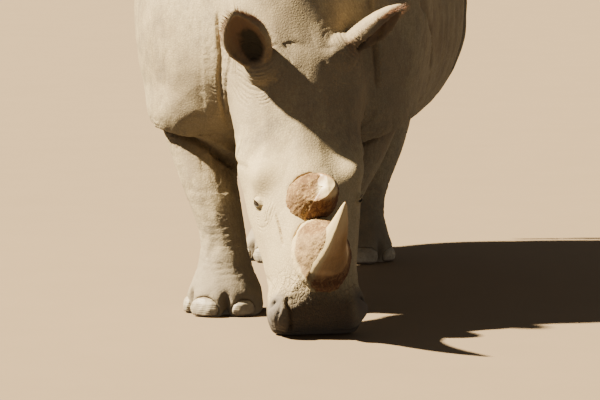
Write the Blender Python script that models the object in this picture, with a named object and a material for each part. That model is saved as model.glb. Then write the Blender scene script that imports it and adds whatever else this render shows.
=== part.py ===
"""A white rhinoceros at life size, head lowered to graze, standing on level ground.

The animal is shaped in a frame of its own: +X is its left, +Y runs from head to tail, +Z is up,
and the ground is Z = 0 with Y = 0 between the forefeet. At the end everything is moved so that
the origin is the middle of the footprint. Metres throughout.

The flesh is built from lofts and rounded masses, fused and smoothed into one body, and then
parted by thin cuts into head, neck, trunk, tail, legs and feet. Horns, ears, eyes and nails are
pieces of their own, seated in pockets of their own shape.
"""

from math import cos, pi, radians, sin

import bmesh
import bpy
from mathutils import Matrix, Vector

# ---- Driving dimensions ------------------------------------------------------------------
SHOULDER_HEIGHT = 1.645
BELLY_HALF_WIDTH = 0.56
HEAD_LENGTH = 0.96
GAP = 0.0003                  # clearance between pieces that touch
FUSE_VOXEL = 0.016            # cell of the mesh that fuses the flesh
SMOOTH_ROUNDS = 14
FLESH_TRIANGLES = 3400        # of the whole fused body, before it is parted
SIDES = 28                    # points round one section of a loft

# Head pose: where the lips meet the ground, and how the head is turned from level and straight.
LIP_POINT = Vector((0.206, -0.610, 0.016))
HEAD_YAW = radians(16.6)
HEAD_PITCH = radians(58.2)
HEAD_ROLL = radians(-3.0)

# Trunk: y, top, bottom, half width, height of the widest line.
TRUNK = (
    (-0.215, 1.06, 0.78, 0.150, 0.87),
    (-0.180, 1.14, 0.72, 0.240, 0.85),
    (-0.110, 1.25, 0.65, 0.335, 0.85),
    (0.000, 1.42, 0.565, 0.420, 0.87),
    (0.130, 1.57, 0.505, 0.472, 0.90),
    (0.320, SHOULDER_HEIGHT, 0.490, 0.488, 0.90),
    (0.560, 1.590, 0.485, 0.502, 0.92),
    (0.800, 1.545, 0.475, 0.538, 0.95),
    (1.010, 1.542, 0.475, BELLY_HALF_WIDTH, 0.97),
    (1.220, 1.575, 0.515, 0.545, 0.98),
    (1.430, 1.600, 0.610, 0.490, 1.00),
    (1.620, 1.555, 0.730, 0.415, 1.04),
    (1.790, 1.462, 0.830, 0.330, 1.08),
    (1.900, 1.360, 0.930, 0.235, 1.12),
    (1.960, 1.260, 1.020, 0.120, 1.14),
)
TRUNK_ROUNDNESS = (2.15, 2.45)

# Neck: centre x, y, z, half width, reach up to the nape, reach down to the throat.
NECK = (
    (0.000, 0.360, 1.120, 0.360, 0.42, 0.42),
    (0.012, 0.140, 1.040, 0.290, 0.42, 0.36),
    (0.045, -0.035, 0.900, 0.245, 0.350, 0.235),
    (0.085, -0.170, 0.760, 0.225, 0.208, 0.190),
    (0.100, -0.260, 0.640, 0.185, 0.130, 0.160),
)

# Head: distance back from the lips, top, bottom, half width, height of the widest line.
HEAD = (
    (0.024, 0.030, -0.078, 0.105, -0.03),
    (0.040, 0.064, -0.110, 0.143, -0.04),
    (0.066, 0.100, -0.128, 0.157, -0.05),
    (0.110, 0.134, -0.136, 0.154, -0.05),
    (0.170, 0.156, -0.134, 0.141, -0.03),
    (0.250, 0.164, -0.134, 0.148, -0.02),
    (0.350, 0.160, -0.148, 0.164, -0.02),
    (0.440, 0.160, -0.168, 0.181, -0.02),
    (0.540, 0.150, -0.186, 0.187, -0.02),
    (0.640, 0.150, -0.202, 0.190, -0.01),
    (0.740, 0.168, -0.206, 0.198, 0.00),
    (0.840, 0.196, -0.190, 0.200, 0.01),
    (0.910, 0.205, -0.160, 0.188, 0.02),
    (HEAD_LENGTH, 0.195, -0.120, 0.165, 0.02),
)
HEAD_ROUNDNESS = (1.90, 2.7)

# Legs: height, share of the way out to the shoulder across and along, half width, half depth.
FORELEG = (
    (-0.030, 0.00, 0.00, 0.118, 0.126),
    (0.020, 0.00, 0.00, 0.127, 0.134),
    (0.075, 0.00, 0.00, 0.124, 0.130),
    (0.130, 0.02, 0.03, 0.100, 0.108),
    (0.190, 0.05, 0.06, 0.083, 0.093),
    (0.260, 0.12, 0.10, 0.078, 0.090),
    (0.340, 0.33, 0.15, 0.086, 0.098),
    (0.420, 0.58, 0.26, 0.097, 0.112),
    (0.520, 0.80, 0.46, 0.120, 0.140),
    (0.620, 0.92, 0.68, 0.140, 0.172),
    (0.750, 1.00, 0.88, 0.150, 0.205),
    (0.900, 1.00, 1.00, 0.140, 0.210),
)
SHOULDER = (0.270, 0.230)     # across, along
# Height, centre across, centre along, half width, half depth.
HINDLEG = (
    (-0.030, 0.152, 1.420, 0.108, 0.122),
    (0.020, 0.152, 1.420, 0.117, 0.130),
    (0.075, 0.152, 1.425, 0.114, 0.124),
    (0.135, 0.152, 1.460, 0.092, 0.102),
    (0.210, 0.157, 1.505, 0.080, 0.092),
    (0.300, 0.174, 1.565, 0.086, 0.098),
    (0.390, 0.196, 1.615, 0.098, 0.118),
    (0.480, 0.210, 1.620, 0.108, 0.146),
    (0.600, 0.226, 1.590, 0.128, 0.196),
    (0.740, 0.240, 1.555, 0.152, 0.258),
    (0.900, 0.245, 1.560, 0.170, 0.315),
    (1.080, 0.225, 1.590, 0.165, 0.320),
    (1.250, 0.170, 1.600, 0.140, 0.250),
)
FOOT_TOP = 0.150

# Feet: name, side (+1 left), centre across and along, outward turn of the toes.
FEET = (
    ("fore", "left", 1, 0.135, 0.050, radians(14)),
    ("fore", "right", -1, 0.160, -0.040, radians(26)),
    ("hind", "left", 1, 0.152, 1.420, radians(12)),
    ("hind", "right", -1, 0.152, 1.420, radians(12)),
)
# Toes: name, turn from the middle toe (outward positive), nail half width, half height.
TOES = (
    ("middle", 0.0, 0.054, 0.039),
    ("outer", radians(62), 0.043, 0.034),
    ("inner", radians(-62), 0.043, 0.034),
)
NAIL_DEPTH = 0.024
NAIL_CLEARANCE = 0.004        # nails stop this far above the ground

# Horns, in the head's frame: distance back, height, half width, half length.
HORN_FRONT = (
    (0.202, 0.130, 0.088, 0.118),
    (0.202, 0.160, 0.090, 0.121),
    (0.198, 0.190, 0.080, 0.105),
    (0.188, 0.225, 0.066, 0.084),
    (0.172, 0.280, 0.053, 0.064),
    (0.156, 0.350, 0.042, 0.050),
    (0.148, 0.430, 0.032, 0.038),
    (0.150, 0.510, 0.021, 0.026),
    (0.158, 0.575, 0.010, 0.013),
    (0.163, 0.602, 0.003, 0.004),
)
HORN_FRONT_LEAN = 0.035       # sideways lean of its tip, for each metre of height
HORN_REAR = (
    (0.405, 0.125, 0.072, 0.076),
    (0.405, 0.160, 0.074, 0.079),
    (0.407, 0.190, 0.063, 0.068),
    (0.411, 0.220, 0.047, 0.052),
    (0.415, 0.250, 0.029, 0.034),
    (0.418, 0.272, 0.012, 0.014),
)
HORN_SIDES = 12

# Eyes, in the head's frame.
EYE_PLACE = (0.154, 0.420, 0.060)
EYE_RADIUS = 0.020

# Ears: distance from the root, half width, half depth, shift of the middle towards the opening.
EAR_SHELL = (
    (-0.045, 0.037, 0.036, 0.000),
    (0.000, 0.038, 0.037, 0.000),
    (0.040, 0.040, 0.037, 0.000),
    (0.075, 0.057, 0.042, 0.004),
    (0.112, 0.072, 0.048, 0.008),
    (0.152, 0.077, 0.048, 0.008),
    (0.192, 0.071, 0.041, 0.004),
    (0.232, 0.050, 0.028, 0.000),
    (0.262, 0.021, 0.013, -0.002),
    (0.276, 0.006, 0.005, -0.002),
)
EAR_HOLLOW = (
    (0.048, 0.014, 0.022, 0.036),
    (0.075, 0.041, 0.043, 0.041),
    (0.112, 0.059, 0.058, 0.044),
    (0.152, 0.065, 0.062, 0.045),
    (0.192, 0.059, 0.058, 0.042),
    (0.230, 0.038, 0.042, 0.032),
    (0.256, 0.010, 0.018, 0.020),
)
# Ear: root in the head's frame, world direction of its length, and of its opening.
EARS = {
    "right": ((-0.118, 0.868, 0.132), (-0.24, -0.66, 0.71), (0.14, -1.0, -0.50)),
    "left": ((0.126, 0.905, 0.128), (0.80, -0.04, 0.60), (0.45, -0.22, -0.87)),
}

# Tail: x, y, z, radius.
TAIL = (
    (0.000, 1.840, 1.330, 0.075),
    (0.000, 1.930, 1.310, 0.056),
    (0.004, 2.000, 1.240, 0.039),
    (0.012, 2.030, 1.120, 0.031),
    (0.020, 2.040, 0.980, 0.025),
    (0.026, 2.040, 0.840, 0.021),
    (0.030, 2.036, 0.740, 0.020),
)

# Colours (linear red, green, blue) and roughness.
HIDE = ((0.48, 0.40, 0.29), 0.85)
HORN = ((0.42, 0.31, 0.19), 0.60)
NAIL = ((0.55, 0.50, 0.40), 0.55)
EYE = ((0.02, 0.014, 0.010), 0.12)


# ---- Frames and tables -------------------------------------------------------------------
def head_matrix():
    """The head's frame: across to its left, back from the lips, and up out of its brow."""
    turn = Matrix.Rotation(HEAD_YAW, 4, "Z") @ Matrix.Rotation(HEAD_PITCH, 4, "X")
    return Matrix.Translation(LIP_POINT) @ turn @ Matrix.Rotation(HEAD_ROLL, 4, "Y")


def smooth_rows(stations, steps):
    """Rows of a table with steps - 1 more between each two, on a smooth curve through them."""
    count = len(stations)

    def slope(index, column):
        low, high = max(index - 1, 0), min(index + 1, count - 1)
        return (stations[high][column] - stations[low][column]) / (high - low)

    rows = []
    for index in range(count - 1):
        here, there = stations[index], stations[index + 1]
        for step in range(steps):
            t = step / steps
            row = []
            for column in range(len(here)):
                value = (2 * t ** 3 - 3 * t ** 2 + 1) * here[column]
                value += (t ** 3 - 2 * t ** 2 + t) * slope(index, column)
                value += (3 * t ** 2 - 2 * t ** 3) * there[column]
                value += (t ** 3 - t ** 2) * slope(index + 1, column)
                row.append(value)
            rows.append(row)
    rows.append(list(stations[-1]))
    return rows


def section(middle, across, up, half, high, low, power, sides):
    """One closed section: an oval between round (power 2) and square, of unequal top and base."""
    points = []
    for index in range(sides):
        angle = 2 * pi * index / sides
        c, s = cos(angle), sin(angle)
        reach = high if s > 0 else low
        bend = power[0] if s > 0 else power[1]
        side = half * abs(c) ** (2 / bend) * (1 if c > 0 else -1)
        rise = reach * abs(s) ** (2 / bend) * (1 if s > 0 else -1)
        points.append(middle + across * side + up * rise)
    return points


# ---- Meshes --------------------------------------------------------------------------------
def loft_into(bm, rings):
    """Join closed sections into one capped body."""
    loops = []
    for ring in rings:
        verts = [bm.verts.new(point) for point in ring]
        edges = [bm.edges.new((verts[i - 1], verts[i])) for i in range(len(verts))]
        loops.append((verts, edges))
    faces = []
    for (_, lower), (_, upper) in zip(loops, loops[1:]):
        faces += bmesh.ops.bridge_loops(bm, edges=lower + upper)["faces"]
    for verts, _ in (loops[0], loops[-1]):
        faces.append(bm.faces.new(verts))
    bmesh.ops.recalc_face_normals(bm, faces=faces)
    bmesh.ops.triangulate(bm, faces=faces)


def ball_into(bm, middle, radii, turn=None, detail=3):
    """Add a rounded mass with three half axes."""
    matrix = Matrix.Translation(middle) @ (turn or Matrix.Identity(4))
    matrix = matrix @ Matrix.Diagonal((*radii, 1.0))
    bmesh.ops.create_icosphere(bm, subdivisions=detail, radius=1.0, matrix=matrix)


def finished(name, bm):
    """Turn a bmesh into an object of the scene."""
    mesh = bpy.data.meshes.new(name)
    bm.to_mesh(mesh)
    bm.free()
    piece = bpy.data.objects.new(name, mesh)
    bpy.context.collection.objects.link(piece)
    return piece


def settle(piece):
    """Apply a piece's modifiers to its mesh."""
    graph = bpy.context.evaluated_depsgraph_get()
    graph.update()
    mesh = bpy.data.meshes.new_from_object(piece.evaluated_get(graph))
    old = piece.data
    piece.modifiers.clear()
    piece.data = mesh
    bpy.data.meshes.remove(old)


def grown(piece, distance=GAP):
    """A copy of a piece, with its faces moved outwards."""
    bm = bmesh.new()
    bm.from_mesh(piece.data)
    bm.normal_update()
    shifts = [vert.normal * distance * min(vert.calc_shell_factor(), 3.0) for vert in bm.verts]
    for vert, shift in zip(bm.verts, shifts):
        vert.co += shift
    return finished(piece.name + "_grown", bm)


def cut(piece, tool, operation):
    """Cut a piece by another with an exact Boolean, and keep the result."""
    modifier = piece.modifiers.new("cut", "BOOLEAN")
    modifier.solver = "EXACT"
    modifier.operation = operation
    modifier.object = tool
    settle(piece)
    tidy(piece)


def tidy(piece):
    """Merge the slivers that a cut leaves, and drop its crumbs: all but the largest island."""
    bm = bmesh.new()
    bm.from_mesh(piece.data)
    bmesh.ops.remove_doubles(bm, verts=bm.verts, dist=0.00002)
    bmesh.ops.dissolve_degenerate(bm, dist=0.00002, edges=bm.edges)
    islands = []
    waiting = set(bm.verts)
    while waiting:
        island = set()
        edge_of_island = [next(iter(waiting))]
        while edge_of_island:
            vert = edge_of_island.pop()
            if vert not in island:
                island.add(vert)
                edge_of_island += [edge.other_vert(vert) for edge in vert.link_edges]
        waiting -= island
        islands.append(island)
    largest = max(islands, key=len)
    crumbs = [vert for vert in bm.verts if vert not in largest]
    bmesh.ops.delete(bm, geom=crumbs, context="VERTS")
    bm.to_mesh(piece.data)
    bm.free()


def discard(piece):
    """Remove a helper from the scene."""
    bpy.data.objects.remove(piece, do_unlink=True)


def copied(piece, name):
    """A copy of a piece with a mesh of its own."""
    twin = piece.copy()
    twin.data = piece.data.copy()
    twin.name = name
    bpy.context.collection.objects.link(twin)
    return twin


def part_off(body, region, name):
    """Take what lies in a region off the body, as a new piece, with a thin gap between them."""
    piece = copied(body, name)
    cut(piece, region, "INTERSECT")
    wider = grown(region)
    cut(body, wider, "DIFFERENCE")
    discard(wider)
    discard(region)
    return piece


def pocket(body, insert):
    """Cut a seat for a separate piece into the body."""
    wider = grown(insert)
    cut(body, wider, "DIFFERENCE")
    discard(wider)


def block(name, place):
    """A six-sided region: place maps the corners of a cube, -1 to 1 each way, to their places."""
    bm = bmesh.new()
    bmesh.ops.create_cube(bm, size=2.0)
    for vert in bm.verts:
        vert.co = place(*vert.co)
    if bm.calc_volume(signed=True) < 0:
        bmesh.ops.reverse_faces(bm, faces=bm.faces)
    return finished(name, bm)


# ---- Flesh ---------------------------------------------------------------------------------
def trunk_into(bm):
    """Barrel of the body, from the breast to the rump."""
    rings = []
    for y, top, bottom, half, wide in smooth_rows(TRUNK, 3):
        rings.append(section(Vector((0, y, wide)), Vector((1, 0, 0)), Vector((0, 0, 1)),
                             half, top - wide, wide - bottom, TRUNK_ROUNDNESS, SIDES))
    loft_into(bm, rings)


def neck_into(bm):
    """Neck, bent down and to the animal's left."""
    rows = smooth_rows(NECK, 4)
    rings = []
    for index, row in enumerate(rows):
        middle = Vector(row[:3])
        before = Vector(rows[max(index - 1, 0)][:3])
        after = Vector(rows[min(index + 1, len(rows) - 1)][:3])
        along = (after - before).normalized()
        across = Vector((1, 0, 0))
        across = (across - along * across.dot(along)).normalized()
        up = across.cross(along).normalized()
        if up.z < 0:
            up = -up
        rings.append(section(middle, across, up, row[3], row[4], row[5], (2.1, 2.1), SIDES))
    loft_into(bm, rings)


def head_into(bm, frame):
    """Skull, cheeks, brows, nostrils and the broad lips."""
    across, back, up = (frame.to_3x3() @ Vector(axis) for axis in ((1, 0, 0), (0, 1, 0), (0, 0, 1)))
    rings = []
    for s, top, bottom, half, wide in smooth_rows(HEAD, 3):
        middle = frame @ Vector((0, s, wide))
        rings.append(section(middle, across, up, half, top - wide, wide - bottom,
                             HEAD_ROUNDNESS, SIDES))
    loft_into(bm, rings)
    turn = frame.to_3x3().to_4x4()
    for side in (1, -1):
        masses = (
            ((0.142, 0.505, 0.090), (0.046, 0.062, 0.042)),     # brow over the eye
            ((0.158, 0.600, -0.010), (0.048, 0.120, 0.060)),    # cheekbone
            ((0.130, 0.700, -0.110), (0.055, 0.110, 0.090)),    # angle of the jaw
            ((0.112, 0.085, 0.030), (0.046, 0.062, 0.052)),     # nostril
            ((0.098, 0.058, -0.085), (0.051, 0.046, 0.046)),    # corner of the lips
            ((0.122, 0.890, 0.100), (0.056, 0.062, 0.062)),     # root of the ear
        )
        for middle, radii in masses:
            place = frame @ Vector((side * middle[0], middle[1], middle[2]))
            ball_into(bm, place, radii, turn)


def legs_into(bm):
    """Four legs, from the soles up into the shoulders and thighs."""
    across, along = Vector((1, 0, 0)), Vector((0, 1, 0))
    for pair, _, side, foot_x, foot_y, turn in FEET:
        rings = []
        if pair == "fore":
            for z, out, back, half, depth in smooth_rows(FORELEG, 3):
                x = foot_x + (SHOULDER[0] - foot_x) * out
                y = foot_y + (SHOULDER[1] - foot_y) * back
                rings.append(section(Vector((side * x, y, z)), across, along,
                                     half, depth, depth, (2.2, 2.2), 24))
        else:
            for z, x, y, half, depth in smooth_rows(HINDLEG, 3):
                rings.append(section(Vector((side * x, y, z)), across, along,
                                     half, depth, depth, (2.2, 2.2), 24))
        loft_into(bm, rings)
        for _, toe_turn, wide, high in TOES:
            angle = side * (turn + toe_turn)
            out = Vector((sin(angle), -cos(angle), 0))
            reach = 0.086 if toe_turn else 0.094
            middle = Vector((side * foot_x, foot_y, 0.040)) + out * reach
            ball_into(bm, middle, (wide * 1.15, 0.052, high * 1.45), Matrix.Rotation(angle, 4, "Z"))


def masses_into(bm):
    """Muscle and fat that stand out from the barrel: hump, shoulders, thighs, brisket."""
    for side in (1, -1):
        ball_into(bm, (side * 0.295, 0.240, 1.000), (0.195, 0.290, 0.400))      # shoulder blade
        ball_into(bm, (side * 0.290, 0.170, 0.705), (0.150, 0.270, 0.160))      # fold over the arm
        ball_into(bm, (side * 0.250, 1.560, 0.960), (0.186, 0.370, 0.440))      # thigh
        ball_into(bm, (side * 0.190, 1.560, 1.310), (0.195, 0.280, 0.195))      # point of the hip
        ball_into(bm, (side * 0.150, 1.830, 1.080), (0.130, 0.120, 0.260))      # buttock
    ball_into(bm, (0.010, 0.120, 1.300), (0.260, 0.260, 0.205))                 # hump of the nape
    ball_into(bm, (0.020, 0.160, 0.600), (0.170, 0.240, 0.110))                 # brisket


def tail_into(bm):
    """Tail, hanging just clear of the rump."""
    rows = smooth_rows(TAIL, 4)
    rings = []
    for index, row in enumerate(rows):
        before = Vector(rows[max(index - 1, 0)][:3])
        after = Vector(rows[min(index + 1, len(rows) - 1)][:3])
        along = (after - before).normalized()
        across = Vector((1, 0, 0))
        up = across.cross(along).normalized()
        rings.append(section(Vector(row[:3]), across, up, row[3], row[3], row[3], (2, 2), 12))
    loft_into(bm, rings)


def fused_flesh(frame):
    """All the flesh as one smooth, closed, faceted body that stands flat on the ground."""
    bm = bmesh.new()
    trunk_into(bm)
    neck_into(bm)
    head_into(bm, frame)
    legs_into(bm)
    masses_into(bm)
    tail_into(bm)
    body = finished("trunk", bm)
    fuse = body.modifiers.new("fuse", "REMESH")
    fuse.mode = "VOXEL"
    fuse.voxel_size = FUSE_VOXEL
    soften = body.modifiers.new("soften", "SMOOTH")
    soften.factor = 0.5
    soften.iterations = SMOOTH_ROUNDS
    settle(body)
    faces = sum(len(face.vertices) - 2 for face in body.data.polygons)
    thin = body.modifiers.new("thin", "DECIMATE")
    thin.ratio = FLESH_TRIANGLES / faces
    settle(body)
    floor = block("floor", lambda x, y, z: Vector((x * 2, 0.9 + y * 3, -0.25 + 0.25 * z)))
    cut(body, floor, "DIFFERENCE")
    discard(floor)
    return body


# ---- Pieces set into the flesh -------------------------------------------------------------
def horn(name, stations, frame, lean):
    """A horn, standing out of the head along a gently curved axis."""
    across, back = (frame.to_3x3() @ Vector(axis) for axis in ((1, 0, 0), (0, 1, 0)))
    base = stations[1][1]
    rings = []
    for s, height, half, length in smooth_rows(stations, 1):
        middle = frame @ Vector((lean * max(height - base, 0), s, height))
        rings.append(section(middle, across, back, half, length, length, (2, 2), HORN_SIDES))
    bm = bmesh.new()
    loft_into(bm, rings)
    return finished(name, bm)


def ear_frame(side, head):
    """The ear's frame: across its width, towards its opening, and along it to the tip."""
    root, length, opening = EARS[side]
    along = Vector(length).normalized()
    front = Vector(opening)
    front = (front - along * front.dot(along)).normalized()
    across = front.cross(along).normalized()
    return head @ Vector(root), across, front, along


def ear_loft(name, stations, placed, sides):
    """A closed loft along the ear."""
    root, across, front, along = placed
    rings = []
    for t, half, depth, shift in smooth_rows(stations, 1):
        middle = root + along * t + front * shift
        rings.append(section(middle, across, front, half, depth, depth, (2, 2), sides))
    bm = bmesh.new()
    loft_into(bm, rings)
    return finished(name, bm)


def nail(name, pair, side, foot_x, foot_y, turn, toe):
    """One blunt nail, on the front of its toe, just clear of the ground."""
    _, toe_turn, wide, high = toe
    angle = side * (turn + toe_turn)
    out = Vector((sin(angle), -cos(angle), 0))
    reach = 0.127 if pair == "fore" else 0.121
    if toe_turn:
        reach -= 0.010
    middle = Vector((side * foot_x, foot_y, high * 0.58 + NAIL_CLEARANCE)) + out * reach
    bm = bmesh.new()
    ball_into(bm, middle, (wide, NAIL_DEPTH, high), Matrix.Rotation(angle, 4, "Z"), detail=2)
    low = Vector((0, 0, NAIL_CLEARANCE))
    geometry = bm.verts[:] + bm.edges[:] + bm.faces[:]
    bmesh.ops.bisect_plane(bm, geom=geometry, dist=0.0005, plane_co=low,
                           plane_no=(0, 0, -1), clear_outer=True)
    rim = [edge for edge in bm.edges if edge.is_boundary]
    bmesh.ops.contextual_create(bm, geom=rim)
    bmesh.ops.recalc_face_normals(bm, faces=bm.faces)
    return finished(name, bm)


# ---- Regions that part the body ------------------------------------------------------------
def head_region(frame):
    """The head, ended by a sloping plane behind the ears and the jaw."""
    def place(x, y, z):
        height = 0.9 if z > 0 else -0.235
        back = -0.3 if y < 0 else 0.846 + 0.62 * height
        wide = 0.34 if z > 0 or y < 0 else 0.215
        return frame @ Vector((x * wide, back, height))
    return block("head_region", place)


def neck_region():
    """The neck, between its two deep side creases and in front of the withers."""
    def place(x, y, z):
        height = 1.03 + 0.53 * z
        back = 0.10 * z if y > 0 else -0.8
        return Vector((0.055 + 0.262 * x, back, height))
    return block("neck_region", place)


def leg_region(pair, side):
    """A leg below the line of the elbow or of the groin."""
    def place(x, y, z):
        out = side * (0.287 + 0.292 * x)
        if pair == "fore":
            along = 0.08 + 0.42 * y
            top = 0.515 + 0.055 * x
        else:
            along = 1.74 + 0.41 * y if z > 0 else 1.65 + 0.50 * y
            top = 0.685 + 0.145 * y
        return Vector((out, along, top if z > 0 else -0.1))
    return block(pair + "_region", place)


def foot_region(side, foot_y):
    """A foot below the ankle."""
    def place(x, y, z):
        return Vector((side * (0.287 + 0.292 * x), foot_y + 0.30 * y, FOOT_TOP if z > 0 else -0.1))
    return block("foot_region", place)


def tail_region():
    """The tail, where it leaves the rump."""
    def place(x, y, z):
        back = 2.3 if y > 0 else 1.955 + 0.040 * z
        return Vector((0.14 * x, back, 0.99 + 0.41 * z))
    return block("tail_region", place)


# ---- Dress and assembly --------------------------------------------------------------------
def dress(piece, colour, smooth_angle=50):
    """Give a piece its own material, and round its shading."""
    (red, green, blue), roughness = colour
    material = bpy.data.materials.new(piece.name)
    material.use_nodes = True
    shader = material.node_tree.nodes["Principled BSDF"]
    shader.inputs["Base Color"].default_value = (red, green, blue, 1.0)
    shader.inputs["Roughness"].default_value = roughness
    material.diffuse_color = (red, green, blue, 1.0)
    piece.data.materials.clear()
    piece.data.materials.append(material)
    piece.data.shade_smooth()
    piece.data.set_sharp_from_angle(angle=radians(smooth_angle))


def main():
    """Model the animal, part it, and centre it on its footprint."""
    for old in list(bpy.data.objects):
        bpy.data.objects.remove(old, do_unlink=True)
    frame = head_matrix()
    body = fused_flesh(frame)
    pieces = []

    for name, stations, lean in (("horn_front", HORN_FRONT, HORN_FRONT_LEAN),
                                 ("horn_rear", HORN_REAR, 0.0)):
        piece = horn(name, stations, frame, lean)
        pocket(body, piece)
        pieces.append((piece, HORN))
    for side, sign in (("left", 1), ("right", -1)):
        bm = bmesh.new()
        place = frame @ Vector((sign * EYE_PLACE[0], EYE_PLACE[1], EYE_PLACE[2]))
        ball_into(bm, place, (EYE_RADIUS,) * 3, detail=2)
        piece = finished("eye_" + side, bm)
        pocket(body, piece)
        pieces.append((piece, EYE))
    for side in ("left", "right"):
        placed = ear_frame(side, frame)
        ear = ear_loft("ear_" + side, EAR_SHELL, placed, 14)
        pocket(body, ear)
        hollow = ear_loft("hollow", EAR_HOLLOW, placed, 12)
        cut(ear, hollow, "DIFFERENCE")
        discard(hollow)
        pieces.append((ear, HIDE))

    pieces.append((part_off(body, head_region(frame), "head"), HIDE))
    pieces.append((part_off(body, neck_region(), "neck"), HIDE))
    pieces.append((part_off(body, tail_region(), "tail"), HIDE))
    for pair, side, sign, foot_x, foot_y, turn in FEET:
        leg = part_off(body, leg_region(pair, sign), pair + "leg_" + side)
        foot = part_off(leg, foot_region(sign, foot_y), pair + "foot_" + side)
        for toe in TOES:
            name = "nail_" + pair + "_" + side + "_" + toe[0]
            piece = nail(name, pair, sign, foot_x, foot_y, turn, toe)
            pocket(foot, piece)
            pieces.append((piece, NAIL))
        pieces += [(leg, HIDE), (foot, HIDE)]
    pieces.append((body, HIDE))

    corners = [vert.co for piece, _ in pieces for vert in piece.data.vertices]
    low = Vector([min(corner[axis] for corner in corners) for axis in range(3)])
    high = Vector([max(corner[axis] for corner in corners) for axis in range(3)])
    shift = Matrix.Translation((-(low.x + high.x) / 2, -(low.y + high.y) / 2, -low.z))
    for piece, colour in pieces:
        piece.data.transform(shift)
        dress(piece, colour)


main()
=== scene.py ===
"""Looks of a white rhinoceros at life size, standing with its head lowered to graze.

One wrinkled hide is drawn over the fixed solids of flesh. Horns, eyes and nails are pieces of
their own, and short hair edges the ears and ends the tail. Metres; +X is the animal's left, +Y
runs from head to tail and +Z is up.
"""

import logging
import math
from dataclasses import dataclass, field, replace
from enum import Enum
from typing import NamedTuple

import bmesh
import bpy
import numpy as np
from mathutils import Matrix, Vector
from mathutils.bvhtree import BVHTree

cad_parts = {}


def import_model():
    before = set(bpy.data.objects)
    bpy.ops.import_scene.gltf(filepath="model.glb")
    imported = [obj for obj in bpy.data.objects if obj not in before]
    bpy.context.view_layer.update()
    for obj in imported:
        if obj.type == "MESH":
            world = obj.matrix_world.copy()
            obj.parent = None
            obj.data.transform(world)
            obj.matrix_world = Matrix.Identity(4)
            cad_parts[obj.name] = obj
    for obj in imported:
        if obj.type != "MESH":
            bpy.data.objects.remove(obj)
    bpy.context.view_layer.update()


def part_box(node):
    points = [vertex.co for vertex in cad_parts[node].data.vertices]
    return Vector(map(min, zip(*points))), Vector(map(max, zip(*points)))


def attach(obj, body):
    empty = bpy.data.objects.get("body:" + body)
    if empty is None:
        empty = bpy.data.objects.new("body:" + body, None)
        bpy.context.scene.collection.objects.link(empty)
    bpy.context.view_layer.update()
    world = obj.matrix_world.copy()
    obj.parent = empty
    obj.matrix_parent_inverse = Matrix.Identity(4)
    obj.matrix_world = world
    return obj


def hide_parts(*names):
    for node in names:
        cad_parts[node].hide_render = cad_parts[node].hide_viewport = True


log = logging.getLogger("rhinoceros")

Point = tuple[float, float, float]
Colour = tuple[float, float, float]
Piece = bpy.types.Object
Socket = bpy.types.NodeSocket

# Points nearer to each other than this are one.
WELD = 0.00001


class Side(Enum):
    """A side of the animal."""

    LEFT = "left"
    RIGHT = "right"

    @property
    def sign(self) -> int:
        """+1 on the animal's left, -1 on its right."""
        return 1 if self is Side.LEFT else -1


class Place(Enum):
    """The axes that a fold's points are given in."""

    HEAD = "head"
    BODY = "body"


# ---- Frames, noise and lines ----
@dataclass(frozen=True)
class HeadFrame:
    """The head's own axes: across to its left, back from the lips, and up out of its brow."""

    yaw: float = math.radians(16.6)
    pitch: float = math.radians(58.2)
    roll: float = math.radians(-3.0)
    eye: Point = (0.154, 0.420, 0.060)

    def matrix(self) -> Matrix:
        """The matrix from the head's axes to the animal's.

        Returns:
            The matrix.
        """
        turn = Matrix.Rotation(self.yaw, 4, "Z") @ Matrix.Rotation(self.pitch, 4, "X")
        turn = turn @ Matrix.Rotation(self.roll, 4, "Y")
        low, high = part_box("eye_left")
        return Matrix.Translation((low + high) / 2 - turn.to_3x3() @ Vector(self.eye)) @ turn

    def local(self, points: np.ndarray) -> np.ndarray:
        """Points of the animal in the head's axes.

        Args:
            points: One row for each point.

        Returns:
            The same points, across, back and up.
        """
        matrix = np.array(self.matrix())
        return (points - matrix[:3, 3]) @ matrix[:3, :3]


# Each ear's root, the way it points and the way it opens, in the head's axes.
EARS = {
    Side.RIGHT: ((-0.118, 0.868, 0.132), (-0.24, -0.66, 0.71), (0.14, -1.0, -0.50)),
    Side.LEFT: ((0.126, 0.905, 0.128), (0.80, -0.04, 0.60), (0.45, -0.22, -0.87)),
}


@dataclass(frozen=True)
class EarFrame:
    """One ear's own axes: across its width, towards its opening, and along it to the tip."""

    side: Side
    head: HeadFrame

    def axes(self) -> tuple[Vector, Vector, Vector, Vector]:
        """The ear's root and its three axes in the animal's frame.

        Returns:
            The root, and the directions across, towards the opening and along.
        """
        root, length, opening = EARS[self.side]
        along = Vector(length).normalized()
        front = Vector(opening)
        front = (front - along * front.dot(along)).normalized()
        return self.head.matrix() @ Vector(root), front.cross(along).normalized(), front, along

    def local(self, points: np.ndarray) -> np.ndarray:
        """Points of the animal in the ear's axes.

        Args:
            points: One row for each point.

        Returns:
            The same points, across, towards the opening, and along.
        """
        root, across, front, along = self.axes()
        return (points - np.array(root)) @ np.array((across, front, along)).T


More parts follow.
